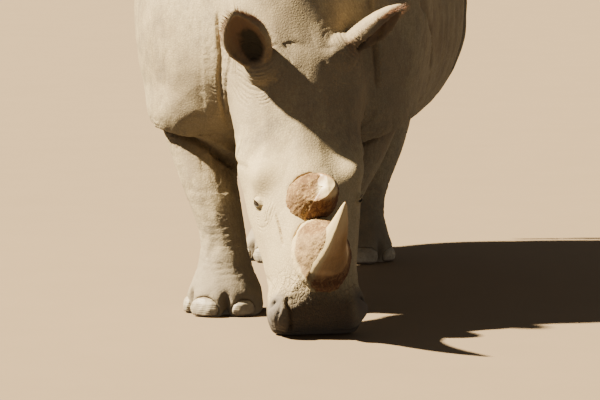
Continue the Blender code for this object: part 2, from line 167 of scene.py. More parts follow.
def lattice_noise(points: np.ndarray, cell: float, seed: int = 0) -> np.ndarray:
    """Smooth, repeatable noise at points.

    Args:
        points: One row for each point.
        cell: Size of the noise's cells, in metres.
        seed: Picks one of many patterns.

    Returns:
        A value from -1 to 1 for each point.
    """
    scaled = points / cell + 17.31 * (seed + 1)
    corner = np.floor(scaled)
    share = scaled - corner
    share = share * share * (3 - 2 * share)
    corner = corner.astype(np.int64)
    total = np.zeros(len(points))
    for index in range(8):
        step = np.array([(index >> axis) & 1 for axis in range(3)])
        x, y, z = (corner + step).T
        mixed = (x * 73856093) ^ (y * 19349663) ^ (z * 83492791) ^ (seed * 6542989)
        mixed = ((mixed ^ (mixed >> 13)) * 1274126177) & 0x7FFFFFFF
        value = ((mixed ^ (mixed >> 15)) % 65536) / 32767.5 - 1
        total += value * np.prod(np.where(step == 1, share, 1 - share), axis=1)
    return total


def ramp(values: np.ndarray, start: float, end: float) -> np.ndarray:
    """A soft step.

    Args:
        values: Numbers to step.
        start: Where the step is 0.
        end: Where the step is 1; it may be below start.

    Returns:
        0 before start, 1 past end, and a smooth rise between them.
    """
    share = np.clip((values - start) / (end - start), 0, 1)
    return share * share * (3 - 2 * share)


def band(values: np.ndarray, low: float, high: float, soft: float) -> np.ndarray:
    """A mask that is 1 between two values and fades to 0 outside them, over a soft distance."""
    return ramp(values, low - soft, low + soft) * ramp(values, high + soft, high - soft)


def curve_through(points: list[Vector], step: float) -> list[Vector]:
    """A smooth curve through points.

    Args:
        points: Points that the curve passes.
        step: Distance between the points of the result.

    Returns:
        Points along the curve.
    """
    result = []
    for index in range(len(points) - 1):
        a = points[max(index - 1, 0)]
        b, c = points[index], points[index + 1]
        d = points[min(index + 2, len(points) - 1)]
        count = max(1, round((c - b).length / step))
        for part in range(count):
            t = part / count
            point = 2 * b + (c - a) * t + (2 * a - 5 * b + 4 * c - d) * t * t
            result.append((point + (3 * b - a - 3 * c + d) * t ** 3) / 2)
    return result + [points[-1]]


def beside(line: np.ndarray, points: np.ndarray) -> tuple[np.ndarray, np.ndarray, np.ndarray]:
    """Where points lie beside a line.

    Args:
        line: Points along the line.
        points: One row for each point.

    Returns:
        Distance from the line, the way out from it and the share of it passed, for each point.
    """
    best = np.full(len(points), np.inf)
    offset = np.zeros((len(points), 3))
    passed = np.zeros(len(points))
    runs = len(line) - 1
    for index in range(runs):
        start, run = line[index], line[index + 1] - line[index]
        away = points - start
        share = np.clip(away @ run / max(run @ run, 1e-12), 0, 1)
        away -= share[:, None] * run
        distance = np.einsum("ij,ij->i", away, away)
        closer = distance < best
        best[closer] = distance[closer]
        offset[closer] = away[closer]
        passed[closer] = (index + share[closer]) / runs
    return np.sqrt(best), offset, passed


# ---- Folds of the hide ----
@dataclass(frozen=True)
class Fold:
    """A fold pressed into the hide along a line: a crease, or a lip that hangs over one.

    Attributes:
        line: Points near the surface; they are drawn onto it.
        width: Half width of the crease.
        depth: Depth of the crease.
        lip: Rise of the hide on the side that hangs over.
        over: Direction towards that side.
        reach: How far the lip's rise fades out.
        place: The axes of the line's points.
        wander: How far the line strays from its points.
    """

    line: tuple[Point, ...]
    width: float
    depth: float
    lip: float = 0.0
    over: Point = (0.0, 0.0, 1.0)
    reach: float = 0.06
    place: Place = Place.BODY
    wander: float = 0.004

    def mirrored(self) -> "Fold":
        """The same fold on the animal's other side."""
        across, back, up = self.over
        return replace(self, line=tuple((-x, y, z) for x, y, z in self.line), over=(-across, back, up))


@dataclass(frozen=True)
class Swell:
    """A soft round form of the hide: a rise, or a hollow where its rise is below 0.

    Attributes:
        centre: Its middle.
        radii: How far it fades along each axis.
        rise: Its height.
        place: The axes of its centre and radii.
    """

    centre: Point
    radii: Point
    rise: float
    place: Place = Place.BODY

    def mirrored(self) -> "Swell":
        """The same form on the animal's other side."""
        x, y, z = self.centre
        return replace(self, centre=(-x, y, z))


class Clay:
    """A mesh whose points are moved by arrays: along its normals, by masks, noise and folds."""

    WEIGHT_STEPS = 16

    def __init__(self, piece: Piece) -> None:
        """Take up a piece.

        Args:
            piece: The object whose mesh is worked.
        """
        self.piece = piece
        self.read()

    def read(self) -> None:
        """Read the points and normals from the mesh."""
        mesh = self.piece.data
        count = len(mesh.vertices)
        self.points = np.empty(count * 3)
        mesh.vertices.foreach_get("co", self.points)
        self.points = self.points.reshape(-1, 3)
        self.normals = np.empty(count * 3)
        mesh.vertex_normals.foreach_get("vector", self.normals)
        self.normals = self.normals.reshape(-1, 3)

    def write(self) -> None:
        """Write the points back to the mesh, and read its new normals."""
        self.piece.data.vertices.foreach_set("co", self.points.ravel())
        self.piece.data.update()
        self.read()

    def push(self, amount: np.ndarray) -> None:
        """Move every point along its normal.

        Args:
            amount: Distance for each point, outwards positive.
        """
        self.points += self.normals * amount[:, None]
        self.write()

    def surface(self) -> BVHTree:
        """A search tree over the mesh as it is now.

        Returns:
            The tree.
        """
        graph = bpy.context.evaluated_depsgraph_get()
        graph.update()
        return BVHTree.FromObject(self.piece, graph)

    def keep(self, name: str, values: np.ndarray) -> None:
        """Store a value for each point as an attribute of the mesh.

        Args:
            name: The attribute's name.
            values: One value for each point.
        """
        mesh = self.piece.data
        layer = mesh.attributes.get(name) or mesh.attributes.new(name, "FLOAT", "POINT")
        layer.data.foreach_set("value", values.astype(np.float32))

    def ease(self, rounds: int, weights: np.ndarray | None = None) -> None:
        """Smooth the mesh.

        Args:
            rounds: How many times each point moves half-way to its neighbours' middle.
            weights: How much of that each point takes, or None for all of it.
        """
        modifier = self.piece.modifiers.new("ease", "SMOOTH")
        modifier.factor = 0.5
        modifier.iterations = rounds
        if weights is not None:
            self.weigh("slack", weights)
            modifier.vertex_group = "slack"
        apply_modifiers(self.piece)
        self.read()

    def weigh(self, name: str, weights: np.ndarray) -> None:
        """Store weights as a vertex group, in even steps.

        Args:
            name: The group's name.
            weights: A weight from 0 to 1 for each point.
        """
        group = self.piece.vertex_groups.get(name) or self.piece.vertex_groups.new(name=name)
        levels = np.round(np.clip(weights, 0, 1) * self.WEIGHT_STEPS).astype(int)
        for level in range(self.WEIGHT_STEPS + 1):
            members = np.nonzero(levels == level)[0]
            if len(members):
                group.add(members.tolist(), level / self.WEIGHT_STEPS, "REPLACE")

    def swell(self, swell: Swell, head: HeadFrame) -> np.ndarray:
        """How far one soft form moves each point.

        Args:
            swell: The form.
            head: The head's axes.

        Returns:
            The distance for each point, outwards positive.
        """
        points = head.local(self.points) if swell.place is Place.HEAD else self.points
        away = (points - np.array(swell.centre)) / np.array(swell.radii)
        return swell.rise * np.exp(-np.einsum("ij,ij->i", away, away))

    def split(self, wanted: np.ndarray) -> None:
        """Halve the mesh's edges where it is wanted.

        Args:
            wanted: True for each point of the part to be made finer.
        """
        bm = bmesh.new()
        bm.from_mesh(self.piece.data)
        edges = [edge for edge in bm.edges
                 if wanted[edge.verts[0].index] and wanted[edge.verts[1].index]]
        bmesh.ops.subdivide_edges(bm, edges=edges, cuts=1, use_grid_fill=True)
        bm.to_mesh(self.piece.data)
        bm.free()
        self.piece.data.update()
        self.read()

    def fold(self, fold: Fold, head: HeadFrame, tree: BVHTree, seed: int) -> np.ndarray:
        """How far one fold moves each point.

        Args:
            fold: The fold.
            head: The head's axes.
            tree: The surface that its line is drawn onto.
            seed: Picks its wander.

        Returns:
            The distance for each point, outwards positive.
        """
        given = [Vector(point) for point in fold.line]
        if fold.place is Place.HEAD:
            matrix = head.matrix()
            given = [matrix @ point for point in given]
        line = np.array([tree.find_nearest(point)[0] for point in curve_through(given, fold.width)])
        for axis in range(3):
            line[:, axis] += fold.wander * lattice_noise(line, 0.05, seed + axis)
        reach = max(fold.reach if fold.lip else 0.0, fold.width * 2.5)
        low, high = line.min(axis=0) - reach, line.max(axis=0) + reach
        near = np.nonzero(np.all((self.points > low) & (self.points < high), axis=1))[0]
        points = self.points[near]
        distance, offset, passed = beside(line, points)
        strength = ramp(passed, 0.0, 0.12) * ramp(passed, 1.0, 0.88)
        strength *= 0.8 + 0.35 * lattice_noise(points, 0.07, seed + 5)
        moved = -fold.depth * np.exp(-(distance / fold.width) ** 2)
        if fold.lip:
            side = offset @ np.array(Vector(fold.over).normalized())
            above = ramp(side, -fold.width * 0.2, fold.width * 0.8)
            lift = fold.lip * np.exp(-(distance / fold.reach) ** 2)
            moved = moved * (1 - 0.55 * above) + lift * above - 0.5 * lift * (1 - above)
        amount = np.zeros(len(self.points))
        amount[near] = moved * strength
        return amount


def valley(phase: np.ndarray) -> np.ndarray:
    """Depth of parallel wrinkles: 0 on their round backs, and 1 in the sharp creases between."""
    return 1 - np.abs(np.sin(np.pi * phase)) ** 0.55


def creased(points: np.ndarray, cell: float, sharp: float, seed: int) -> np.ndarray:
    """Depth of wandering creases: 1 in their lines and 0 on the skin between them.

    Args:
        points: One row for each point.
        cell: Size of the skin between the creases.
        sharp: Their width, as a share of the cell.
        seed: Picks one of many patterns.

    Returns:
        A value from 0 to 1 for each point.
    """
    return np.exp(-(lattice_noise(points, cell, seed) / sharp) ** 2)


def apply_modifiers(piece: Piece) -> None:
    """Apply a piece's modifiers to its mesh, and clear them.

    Args:
        piece: The piece.
    """
    graph = bpy.context.evaluated_depsgraph_get()
    graph.update()
    mesh = bpy.data.meshes.new_from_object(piece.evaluated_get(graph))
    old = piece.data
    piece.modifiers.clear()
    piece.data = mesh
    bpy.data.meshes.remove(old)


def fuse(piece: Piece, cell: float) -> None:
    """Rebuild a piece as one closed skin.

    Args:
        piece: The piece, whose solids may overlap.
        cell: Size of the skin's cells.
    """
    modifier = piece.modifiers.new("fuse", "REMESH")
    modifier.mode = "VOXEL"
    modifier.voxel_size = cell
    apply_modifiers(piece)


def triangles(piece: Piece) -> int:
    """How many triangles a piece's faces divide into."""
    return sum(len(face.vertices) - 2 for face in piece.data.polygons)


def settle(bm: bmesh.types.BMesh) -> None:
    """Put faces in the order of their points, because extruding leaves their order to chance.

    Args:
        bm: The shape.
    """
    bm.verts.index_update()
    count = len(bm.verts)

    def place(face: bmesh.types.BMFace) -> int:
        """A number of the face's own, from its points' numbers."""
        first, second, *_, last = sorted(vert.index for vert in face.verts)
        return (first * count + second) * count + last

    bm.faces.sort(key=place)


def shown(name: str, bm: bmesh.types.BMesh) -> Piece:
    """Turn a bmesh into an object of the scene.

    Args:
        name: The piece's name.
        bm: Its shape; it is freed.

    Returns:
        The new object, at the origin.
    """
    mesh = bpy.data.meshes.new(name)
    bm.to_mesh(mesh)
    bm.free()
    piece = bpy.data.objects.new(name, mesh)
    bpy.context.collection.objects.link(piece)
    return piece


def dress(piece: Piece, material: bpy.types.Material) -> None:
    """Give a piece its material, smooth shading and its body.

    Args:
        piece: The piece.
        material: Its finish.
    """
    piece.data.materials.clear()
    piece.data.materials.append(material)
    piece.data.shade_smooth()
    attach(piece, "root")
    log.info("%s: %d faces", piece.name, len(piece.data.polygons))


# ---- Materials ----
class Shader:
    """A node tree being wired, of a material or of a shared group."""

    def __init__(self, tree: bpy.types.NodeTree) -> None:
        """Take up a tree.

        Args:
            tree: The tree to wire.
        """
        self.tree = tree

    @classmethod
    def material(cls, name: str, roughness: float) -> tuple["Shader", bpy.types.Material]:
        """Start a material.

        Args:
            name: The material's name.
            roughness: Its roughness where nothing else feeds it.

        Returns:
            The wiring and the material.
        """
        made = bpy.data.materials.new(name)
        made.use_nodes = True
        shader = cls(made.node_tree)
        shader.surface.inputs["Roughness"].default_value = roughness
        return shader, made

    @property
    def surface(self) -> bpy.types.Node:
        """The material's own shader."""
        return self.tree.nodes["Principled BSDF"]

    def add(self, kind: str, **values: object) -> bpy.types.Node:
        """Add a node.

        Args:
            kind: Its type, without the leading ShaderNode.
            **values: Its properties.

        Returns:
            The node.
        """
        node = self.tree.nodes.new("ShaderNode" + kind)
        for name, value in values.items():
            setattr(node, name, value)
        return node

    def feed(self, socket: Socket, value: object) -> None:
        """Join a socket to another, or set its value.

        Args:
            socket: The socket that is fed.
            value: A socket, a number or a colour.
        """
        if isinstance(value, Socket):
            self.tree.links.new(value, socket)
        elif isinstance(value, tuple) and len(value) == 3 and socket.type == "RGBA":
            socket.default_value = (*value, 1.0)
        else:
            socket.default_value = value

    def place(self, stretch: Point = (1.0, 1.0, 1.0)) -> Socket:
        """Object coordinates, stretched.

        Args:
            stretch: Scale along each axis.

        Returns:
            The vector.
        """
        mapping = self.add("Mapping")
        mapping.inputs["Scale"].default_value = stretch
        self.feed(mapping.inputs["Vector"], self.add("TexCoord").outputs["Object"])
        return mapping.outputs["Vector"]

    def attribute(self, name: str) -> Socket:
        """A mask stored on the piece."""
        return self.add("Attribute", attribute_name=name).outputs["Fac"]

    def strands(self) -> Socket:
        """Coordinates that run along a horn's fibres: fine across them, and long with them.

        Returns:
            The vector.
        """
        join = self.add("CombineXYZ")
        for axis, name, cells in (("X", "strand_a", 420.0), ("Y", "strand_b", 420.0),
                                  ("Z", "along", 6.0)):
            self.feed(join.inputs[axis], self.times(self.attribute(name), cells))
        return join.outputs["Vector"]

    def noise(self, vector: object, scale: float, detail: float = 4.0,
              rough: float = 0.55, bend: float = 0.0) -> Socket:
        """A noise from 0 to 1.

        Args:
            vector: Where it is read.
            scale: Cells to the metre.
            detail: Number of finer layers.
            rough: Strength of the finer layers.
            bend: Distortion.

        Returns:
            The value.
        """
        node = self.add("TexNoise")
        self.feed(node.inputs["Vector"], vector)
        node.inputs["Scale"].default_value = scale
        node.inputs["Detail"].default_value = detail
        node.inputs["Roughness"].default_value = rough
        node.inputs["Distortion"].default_value = bend
        return node.outputs["Fac"]

    def cells(self, vector: object, scale: float, feature: str = "DISTANCE_TO_EDGE",
              output: str = "Distance") -> Socket:
        """A pattern of cells.

        Args:
            vector: Where it is read.
            scale: Cells to the metre.
            feature: What is measured.
            output: Which result is given.

        Returns:
            The value or colour.
        """
        node = self.add("TexVoronoi", feature=feature)
        self.feed(node.inputs["Vector"], vector)
        node.inputs["Scale"].default_value = scale
        return node.outputs[output]

    def math(self, operation: str, a: object, b: object = 0.0) -> Socket:
        """Arithmetic on two values, held between 0 and 1 by CLAMPED_ before its name.

        Args:
            operation: Its name.
            a: The first value.
            b: The second value.

        Returns:
            The result.
        """
        node = self.add("Math", operation=operation.removeprefix("CLAMPED_"))
        node.use_clamp = operation.startswith("CLAMPED_")
        self.feed(node.inputs[0], a)
        self.feed(node.inputs[1], b)
        return node.outputs[0]

    def times(self, a: object, b: object) -> Socket:
        """The product of two values."""
        return self.math("MULTIPLY", a, b)

    def step(self, value: object, start: float, end: float, low: float = 0.0,
             high: float = 1.0) -> Socket:
        """A value mapped from one range to another, softly and held at its ends.

        Args:
            value: The value.
            start: Where the result is low.
            end: Where the result is high.
            low: The result's start.
            high: The result's end.

        Returns:
            The mapped value.
        """
        node = self.add("MapRange", interpolation_type="SMOOTHSTEP")
        self.feed(node.inputs["Value"], value)
        for name, number in (("From Min", start), ("From Max", end),
                             ("To Min", low), ("To Max", high)):
            node.inputs[name].default_value = number
        return node.outputs["Result"]

    def mix(self, share: object, a: object, b: object, blend: str = "MIX") -> Socket:
        """Mix two colours.

        Args:
            share: How much of the second.
            a: The first colour.
            b: The second colour.
            blend: How they are mixed.

        Returns:
            The colour.
        """
        node = self.add("Mix", data_type="RGBA", blend_type=blend)
        self.feed(node.inputs["Factor"], share)
        first, second = [socket for socket in node.inputs if socket.type == "RGBA"]
        self.feed(first, a)
        self.feed(second, b)
        return [socket for socket in node.outputs if socket.type == "RGBA"][0]

    def mottle(self, vector: object, scale: float) -> tuple[Socket, Socket]:
        """The shared mottling of dust and stain.

        Args:
            vector: Where it is read.
            scale: Cells to the metre.

        Returns:
            A mask of broad clouds and a mask of small stains.
        """
        node = self.add("Group", node_tree=mottle_group())
        self.feed(node.inputs["Vector"], vector)
        self.feed(node.inputs["Scale"], scale)
        return node.outputs["Clouds"], node.outputs["Stains"]

    def bump(self, height: object, distance: float, strength: float = 1.0) -> None:
        """Feed the surface's normal from a height.

        Args:
            height: A value from 0 to 1.
            distance: How high 1 stands, in metres.
            strength: How much of it shows.
        """
        node = self.add("Bump")
        node.inputs["Distance"].default_value = distance
        node.inputs["Strength"].default_value = strength
        self.feed(node.inputs["Height"], height)
        self.feed(self.surface.inputs["Normal"], node.outputs["Normal"])


def mottle_group() -> bpy.types.NodeTree:
    """The node group of clouds and stains that the hide, horns and nails share.

    Returns:
        The group, made when it is first asked for.
    """
    found = bpy.data.node_groups.get("mottle")
    if found:
        return found
    tree = bpy.data.node_groups.new("mottle", "ShaderNodeTree")
    tree.interface.new_socket("Vector", in_out="INPUT", socket_type="NodeSocketVector")
    tree.interface.new_socket("Scale", in_out="INPUT", socket_type="NodeSocketFloat")
    tree.interface.new_socket("Clouds", in_out="OUTPUT", socket_type="NodeSocketFloat")
    tree.interface.new_socket("Stains", in_out="OUTPUT", socket_type="NodeSocketFloat")
    shader = Shader(tree)
    given = tree.nodes.new("NodeGroupInput").outputs
    result = tree.nodes.new("NodeGroupOutput").inputs
    clouds = shader.noise(given["Vector"], 1.0, 5.0, 0.62)
    shader.feed(clouds.node.inputs["Scale"], given["Scale"])
    shader.feed(result["Clouds"], shader.step(clouds, 0.36, 0.64))
    stains = shader.noise(given["Vector"], 1.0, 6.0, 0.70, 0.5)
    shader.feed(stains.node.inputs["Scale"], shader.times(given["Scale"], 5.3))
    shader.feed(result["Stains"], shader.step(stains, 0.44, 0.70))
    return tree


@dataclass(frozen=True)
class HideFinish:
    """Dry hide under dust, cracked, greyer at the lips, brown inside the ears, with painted shade in its
    hollows.
    """

    sand: Colour = (0.415, 0.335, 0.205)
    clay: Colour = (0.270, 0.208, 0.124)
    grey: Colour = (0.195, 0.160, 0.112)
    pale: Colour = (0.560, 0.442, 0.242)
    # Painted shade for the cracks, folds and wrinkles.
    recess_shade: Colour = (0.090, 0.060, 0.036)
    lips: Colour = (0.145, 0.120, 0.094)
    # Painted shade over the muzzle's front and underside, on darker skin at the lips.
    mouth_shade: Colour = (0.070, 0.054, 0.036)
    ear: Colour = (0.185, 0.112, 0.064)
    # Painted shade, near black, in the nostrils, round the eyes' slits and in the ears' cores.
    hole_shade: Colour = (0.005, 0.004, 0.003)
    roughness: float = 0.85

    def material(self) -> bpy.types.Material:
        """The hide's material.

        Returns:
            The material.
        """
        shader, made = Shader.material("hide", self.roughness)
        place = shader.place()
        bent = self.bent(shader, place)
        coarse = shader.step(shader.cells(bent, 105.0), 0.0, 0.30)
        fine = shader.step(shader.cells(bent, 230.0), 0.0, 0.30)
        cut = self.cut(shader)
        # Painted shade: the hide darkens along its cracks.
        cracks = shader.step(shader.math("ADD", coarse, fine), 0.2, 1.4, 0.24, 0.0)
        colour = shader.mix(cracks, self.mottled_and_shaded(shader, place), self.recess_shade)
        for name, tint in (("low_darkening", self.grey), ("lips", self.lips), ("mouth_shade", self.mouth_shade)):
            colour = shader.mix(shader.attribute(name), colour, tint)
        # Painted shade: the hide darkens in its folds, wrinkles and the muzzle's cuts.
        crease = shader.math("MAXIMUM", shader.attribute("crease"), shader.times(cut, 0.7))
        colour = shader.mix(shader.step(crease, 0.15, 1.0, 0.0, 0.50), colour, self.recess_shade)
        colour = shader.mix(shader.attribute("ear"), colour, self.ear)
        # Painted shade in the nostrils, round the eyes' slits and in the ears' cores.
        colour = shader.mix(shader.attribute("dark"), colour, self.hole_shade)
        shader.feed(shader.surface.inputs["Base Color"], colour)
        height = shader.math("ADD", shader.times(coarse, 0.45), shader.times(fine, 0.25))
        grain = shader.noise(place, 420.0, 3.0, 0.6)
        height = shader.math("ADD", height, shader.times(grain, 0.25))
        height = shader.math("SUBTRACT", height, shader.times(cut, 2.6))
        shader.bump(height, 0.0009, 0.8)
        return made

    def mottled_and_shaded(self, shader: Shader, place: Socket) -> Socket:
        """The hide's plain colour: clouds and stains, with painted shade high on the head towards the ears,
        and paler towards the muzzle.

        Args:
            shader: The wiring.
            place: The plain coordinates.

        Returns:
            The colour.
        """
        clouds, stains = shader.mottle(place, 3.0)
        patches, spots = shader.mottle(shader.place((1.0, 1.0, 0.7)), 17.0)
        colour = shader.mix(clouds, self.sand, self.clay)
        colour = shader.mix(shader.times(stains, 0.60), colour, self.grey)
        colour = shader.mix(shader.times(patches, 0.45), colour, self.pale)
        colour = shader.mix(shader.times(spots, 0.45), colour, self.clay)
        streaks = shader.noise(shader.place((1.0, 1.0, 0.30)), 150.0, 4.0, 0.6)
        fleck = shader.step(streaks, 0.30, 0.70, 0.87, 1.08)
        colour = shader.mix(1.0, colour, fleck, "MULTIPLY")
        # Painted shade high on the head towards the ears; the face grows paler towards the muzzle.
        head_shading = shader.attribute("head_shading")
        colour = shader.mix(shader.step(head_shading, 0.0, 0.5, 0.55, 0.0), colour, self.clay)
        return shader.mix(shader.step(head_shading, 0.5, 1.0, 0.0, 0.60), colour, self.pale)

    def cut(self, shader: Shader) -> Socket:
        """The net of thin cuts on the muzzle, 1 in a cut and 0 beside it.

        Args:
            shader: The wiring.

        Returns:
            The mask.
        """
        tall = self.bent(shader, shader.place((1.0, 0.55, 0.50)))
        wide = shader.step(shader.cells(tall, 66.0), 0.0, 0.14)
        cross = shader.step(shader.cells(tall, 135.0), 0.0, 0.20)
        lines = shader.times(wide, shader.math("ADD", 0.5, shader.times(cross, 0.5)))
        return shader.times(shader.attribute("net"), shader.math("SUBTRACT", 1.0, lines))

    def bent(self, shader: Shader, place: Socket) -> Socket:
        """Coordinates bent by a noise, so that no crease runs straight.

        Args:
            shader: The wiring.
            place: The plain coordinates.

        Returns:
            The bent ones.
        """
        swirl = shader.add("TexNoise")
        swirl.inputs["Scale"].default_value = 40.0
        shader.feed(swirl.inputs["Vector"], place)
        wave = shader.add("VectorMath", operation="SCALE")
        wave.inputs["Scale"].default_value = 0.010
        shader.feed(wave.inputs[0], swirl.outputs["Color"])
        bent = shader.add("VectorMath", operation="ADD")
        shader.feed(bent.inputs[0], place)
        shader.feed(bent.inputs[1], wave.outputs["Vector"])
        return bent.outputs["Vector"]


@dataclass(frozen=True)
class PlainFinish:
    """One colour with a little unevenness."""

    name: str
    colour: Colour
    shade: Colour
    roughness: float = 0.6
    scale: float = 60.0

    def material(self) -> bpy.types.Material:
        """The finish's material.

        Returns:
            The material.
        """
        shader, made = Shader.material(self.name, self.roughness)
        place = shader.place()
        spread = shader.step(shader.noise(place, self.scale), 0.3, 0.7)
        shader.feed(shader.surface.inputs["Base Color"], shader.mix(spread, self.colour, self.shade))
        shader.bump(shader.noise(place, self.scale * 4), 0.001)
        return made


# ---- The hide ----
FACE_FOLDS = (
    Fold(((-0.126, 0.366, 0.114), (-0.121, 0.345, 0.117), (-0.117, 0.310, 0.117), (-0.113, 0.255, 0.116)),
         0.0032, 0.0090, 0.002, (-1, 0, 0), 0.02, Place.HEAD, 0.002),
    Fold(((-0.052, 0.908, 0.196), (-0.024, 0.917, 0.205), (0.000, 0.914, 0.206), (0.022, 0.921, 0.205)),
         0.0022, 0.0024, 0.0015, (0, 1, 0), 0.020, Place.HEAD, 0.006),
    Fold(((-0.110, 0.096, 0.092), (-0.106, 0.078, 0.078), (-0.098, 0.057, 0.048), (-0.091, 0.044, 0.006),
          (-0.086, 0.044, -0.030)),
         0.0075, 0.0180, 0.007, (-1, 0, 0), 0.040, Place.HEAD, 0.001),
    Fold(((-0.118, 0.062, 0.062), (-0.128, 0.048, 0.040), (-0.126, 0.030, 0.010)),
         0.0035, 0.0045, place=Place.HEAD, wander=0.001),
)

LIP_FOLDS = (
    Fold(((0.040, -0.004, -0.034), (0.100, 0.008, -0.038), (0.150, 0.050, -0.044),
          (0.160, 0.120, -0.050), (0.150, 0.190, -0.062)),
         0.0055, 0.0110, 0.004, (0, 0, 1), 0.03, Place.HEAD, 0.002),
    Fold(((0.150, 0.160, 0.020), (0.160, 0.200, -0.020), (0.158, 0.235, -0.065)),
         0.0070, 0.0050, 0.002, (0, -1, 0), 0.03, Place.HEAD, 0.003),
    Fold(((0.170, 0.560, 0.050), (0.186, 0.600, 0.000), (0.190, 0.650, -0.060), (0.180, 0.700, -0.120)),
         0.0100, 0.0050, 0.004, (0, -1, 0), 0.06, Place.HEAD, 0.006),
)

SHOULDER_FOLDS = {
    Side.RIGHT: (
        Fold(((-0.470, -0.120, 0.690), (-0.455, -0.240, 0.650), (-0.420, -0.370, 0.622),
              (-0.376, -0.470, 0.606), (-0.349, -0.514, 0.598), (-0.312, -0.543, 0.588),
              (-0.277, -0.555, 0.576), (-0.244, -0.559, 0.563), (-0.211, -0.558, 0.544),
              (-0.179, -0.552, 0.521), (-0.140, -0.515, 0.492), (-0.110, -0.460, 0.480)),
             0.0120, 0.0300, 0.022, (0, -0.45, 1), 0.085, wander=0.002),
        Fold(((-0.173, -0.735, 1.010), (-0.171, -0.735, 0.969),
              (-0.164, -0.737, 0.905), (-0.158, -0.736, 0.841), (-0.155, -0.713, 0.775),
              (-0.154, -0.645, 0.705), (-0.147, -0.593, 0.652)),
             0.0090, 0.0060, 0.006, (-1, 0, 0), 0.050, wander=0.004),
        Fold(((-0.150, -0.790, 0.990), (-0.140, -0.790, 0.900), (-0.126, -0.780, 0.830),
              (-0.132, -0.720, 0.750), (-0.128, -0.650, 0.670)),
             0.0070, 0.0035, 0.003, (-1, 0, 0), 0.035, wander=0.006),
    ),
    Side.LEFT: (
        Fold(((0.470, -0.100, 0.690), (0.440, -0.250, 0.650), (0.399, -0.397, 0.624),
              (0.356, -0.474, 0.604), (0.315, -0.504, 0.580), (0.284, -0.515, 0.561),
              (0.235, -0.505, 0.535), (0.185, -0.470, 0.505), (0.140, -0.430, 0.480)),
             0.0120, 0.0300, 0.022, (0, -0.45, 1), 0.085, wander=0.002),
        Fold(((0.463, -0.433, 1.015), (0.485, -0.228, 0.925), (0.482, -0.141, 0.816),
              (0.455, -0.050, 0.700)),
             0.0300, 0.0160, 0.006, (0, -1, 0), 0.090, wander=0.010),
        Fold(((0.330, -0.660, 1.200), (0.356, -0.660, 1.020), (0.360, -0.650, 0.860),
              (0.330, -0.590, 0.730)),
             0.0120, 0.0120, 0.006, (1, 0, 0), 0.060, wander=0.006),
    ),
}

BODY_FOLDS = (
    Fold(((0.340, -0.560, 1.300), (0.420, -0.420, 1.240), (0.470, -0.260, 1.180), (0.490, -0.140, 1.050),
          (0.488, -0.100, 0.900)),
         0.0250, 0.0110, 0.005, (0, -1, 0), 0.090, wander=0.010),
    Fold(((0.300, 0.520, 0.520), (0.410, 0.540, 0.640), (0.470, 0.585, 0.780), (0.495, 0.650, 0.930),
          (0.480, 0.740, 1.080)),
         0.0170, 0.0240, 0.012, (0, 1, 0), 0.100, wander=0.006),
    Fold(((0.130, 1.420, 1.150), (0.150, 1.430, 1.000), (0.150, 1.400, 0.850), (0.130, 1.330, 0.720)),
         0.0140, 0.0130, 0.008, (1, 0, 0), 0.070, wander=0.006),
    Fold(((0.060, 1.430, 1.180), (0.070, 1.440, 1.050), (0.060, 1.420, 0.900), (0.050, 1.360, 0.740)),
         0.0100, 0.0140, 0.004, (1, 0, 0), 0.050, wander=0.004),
    Fold(((0.300, 1.160, 0.560), (0.360, 1.080, 0.520), (0.380, 0.960, 0.500), (0.350, 0.830, 0.500)),
         0.0100, 0.0080, 0.004, (0, 0, 1), 0.050, wander=0.006),
    Fold(((0.240, 0.160, 0.530), (0.330, 0.300, 0.560), (0.380, 0.420, 0.600)),
         0.0120, 0.0060, 0.003, (0, 0, 1), 0.050, wander=0.008),
)

FACE_SWELLS = (
    Swell((0.138, 0.388, 0.090), (0.032, 0.034, 0.032), 0.006, Place.HEAD),
    Swell((0.185, 0.640, 0.020), (0.060, 0.120, 0.080), 0.006, Place.HEAD),
    Swell((0.080, 0.620, 0.150), (0.050, 0.110, 0.060), -0.008, Place.HEAD),
    Swell((0.128, 0.036, 0.030), (0.030, 0.036, 0.050), 0.013, Place.HEAD),
    Swell((0.143, 0.112, 0.072), (0.014, 0.016, 0.016), 0.007, Place.HEAD),
    Swell((0.146, 0.086, 0.050), (0.013, 0.008, 0.017), -0.024, Place.HEAD),
    Swell((0.140, 0.068, 0.030), (0.026, 0.022, 0.034), 0.008, Place.HEAD),
    Swell((0.110, 0.100, 0.075), (0.040, 0.040, 0.035), -0.004, Place.HEAD),
    Swell((0.120, 0.880, 0.150), (0.060, 0.065, 0.060), 0.010, Place.HEAD),
    Swell((0.075, 0.900, 0.200), (0.055, 0.080, 0.050), 0.010, Place.HEAD),
)

# Balls that thicken the ears' roots: the middle and the half size of each, in the head's axes.
EAR_ROOTS = (
    ((0.108, 0.893, 0.150), (0.072, 0.066, 0.052)),
    ((0.138, 0.898, 0.152), (0.060, 0.050, 0.048)),
    ((0.140, 0.912, 0.168), (0.052, 0.052, 0.046)),
    ((-0.108, 0.862, 0.148), (0.060, 0.062, 0.050)),
)

BODY_SWELLS = (
    Swell((0.222, -0.598, 0.660), (0.130, 0.110, 0.085), 0.034),
    Swell((0.430, -0.420, 0.900), (0.200, 0.200, 0.260), 0.010),
    Swell((0.330, -0.480, 0.480), (0.120, 0.110, 0.080), -0.006),
    Swell((0.470, 0.900, 1.000), (0.200, 0.240, 0.300), 0.010),
    Swell((0.400, 0.560, 1.080), (0.200, 0.120, 0.200), -0.012),
    Swell((0.300, 1.080, 1.330), (0.120, 0.160, 0.090), 0.008),
)


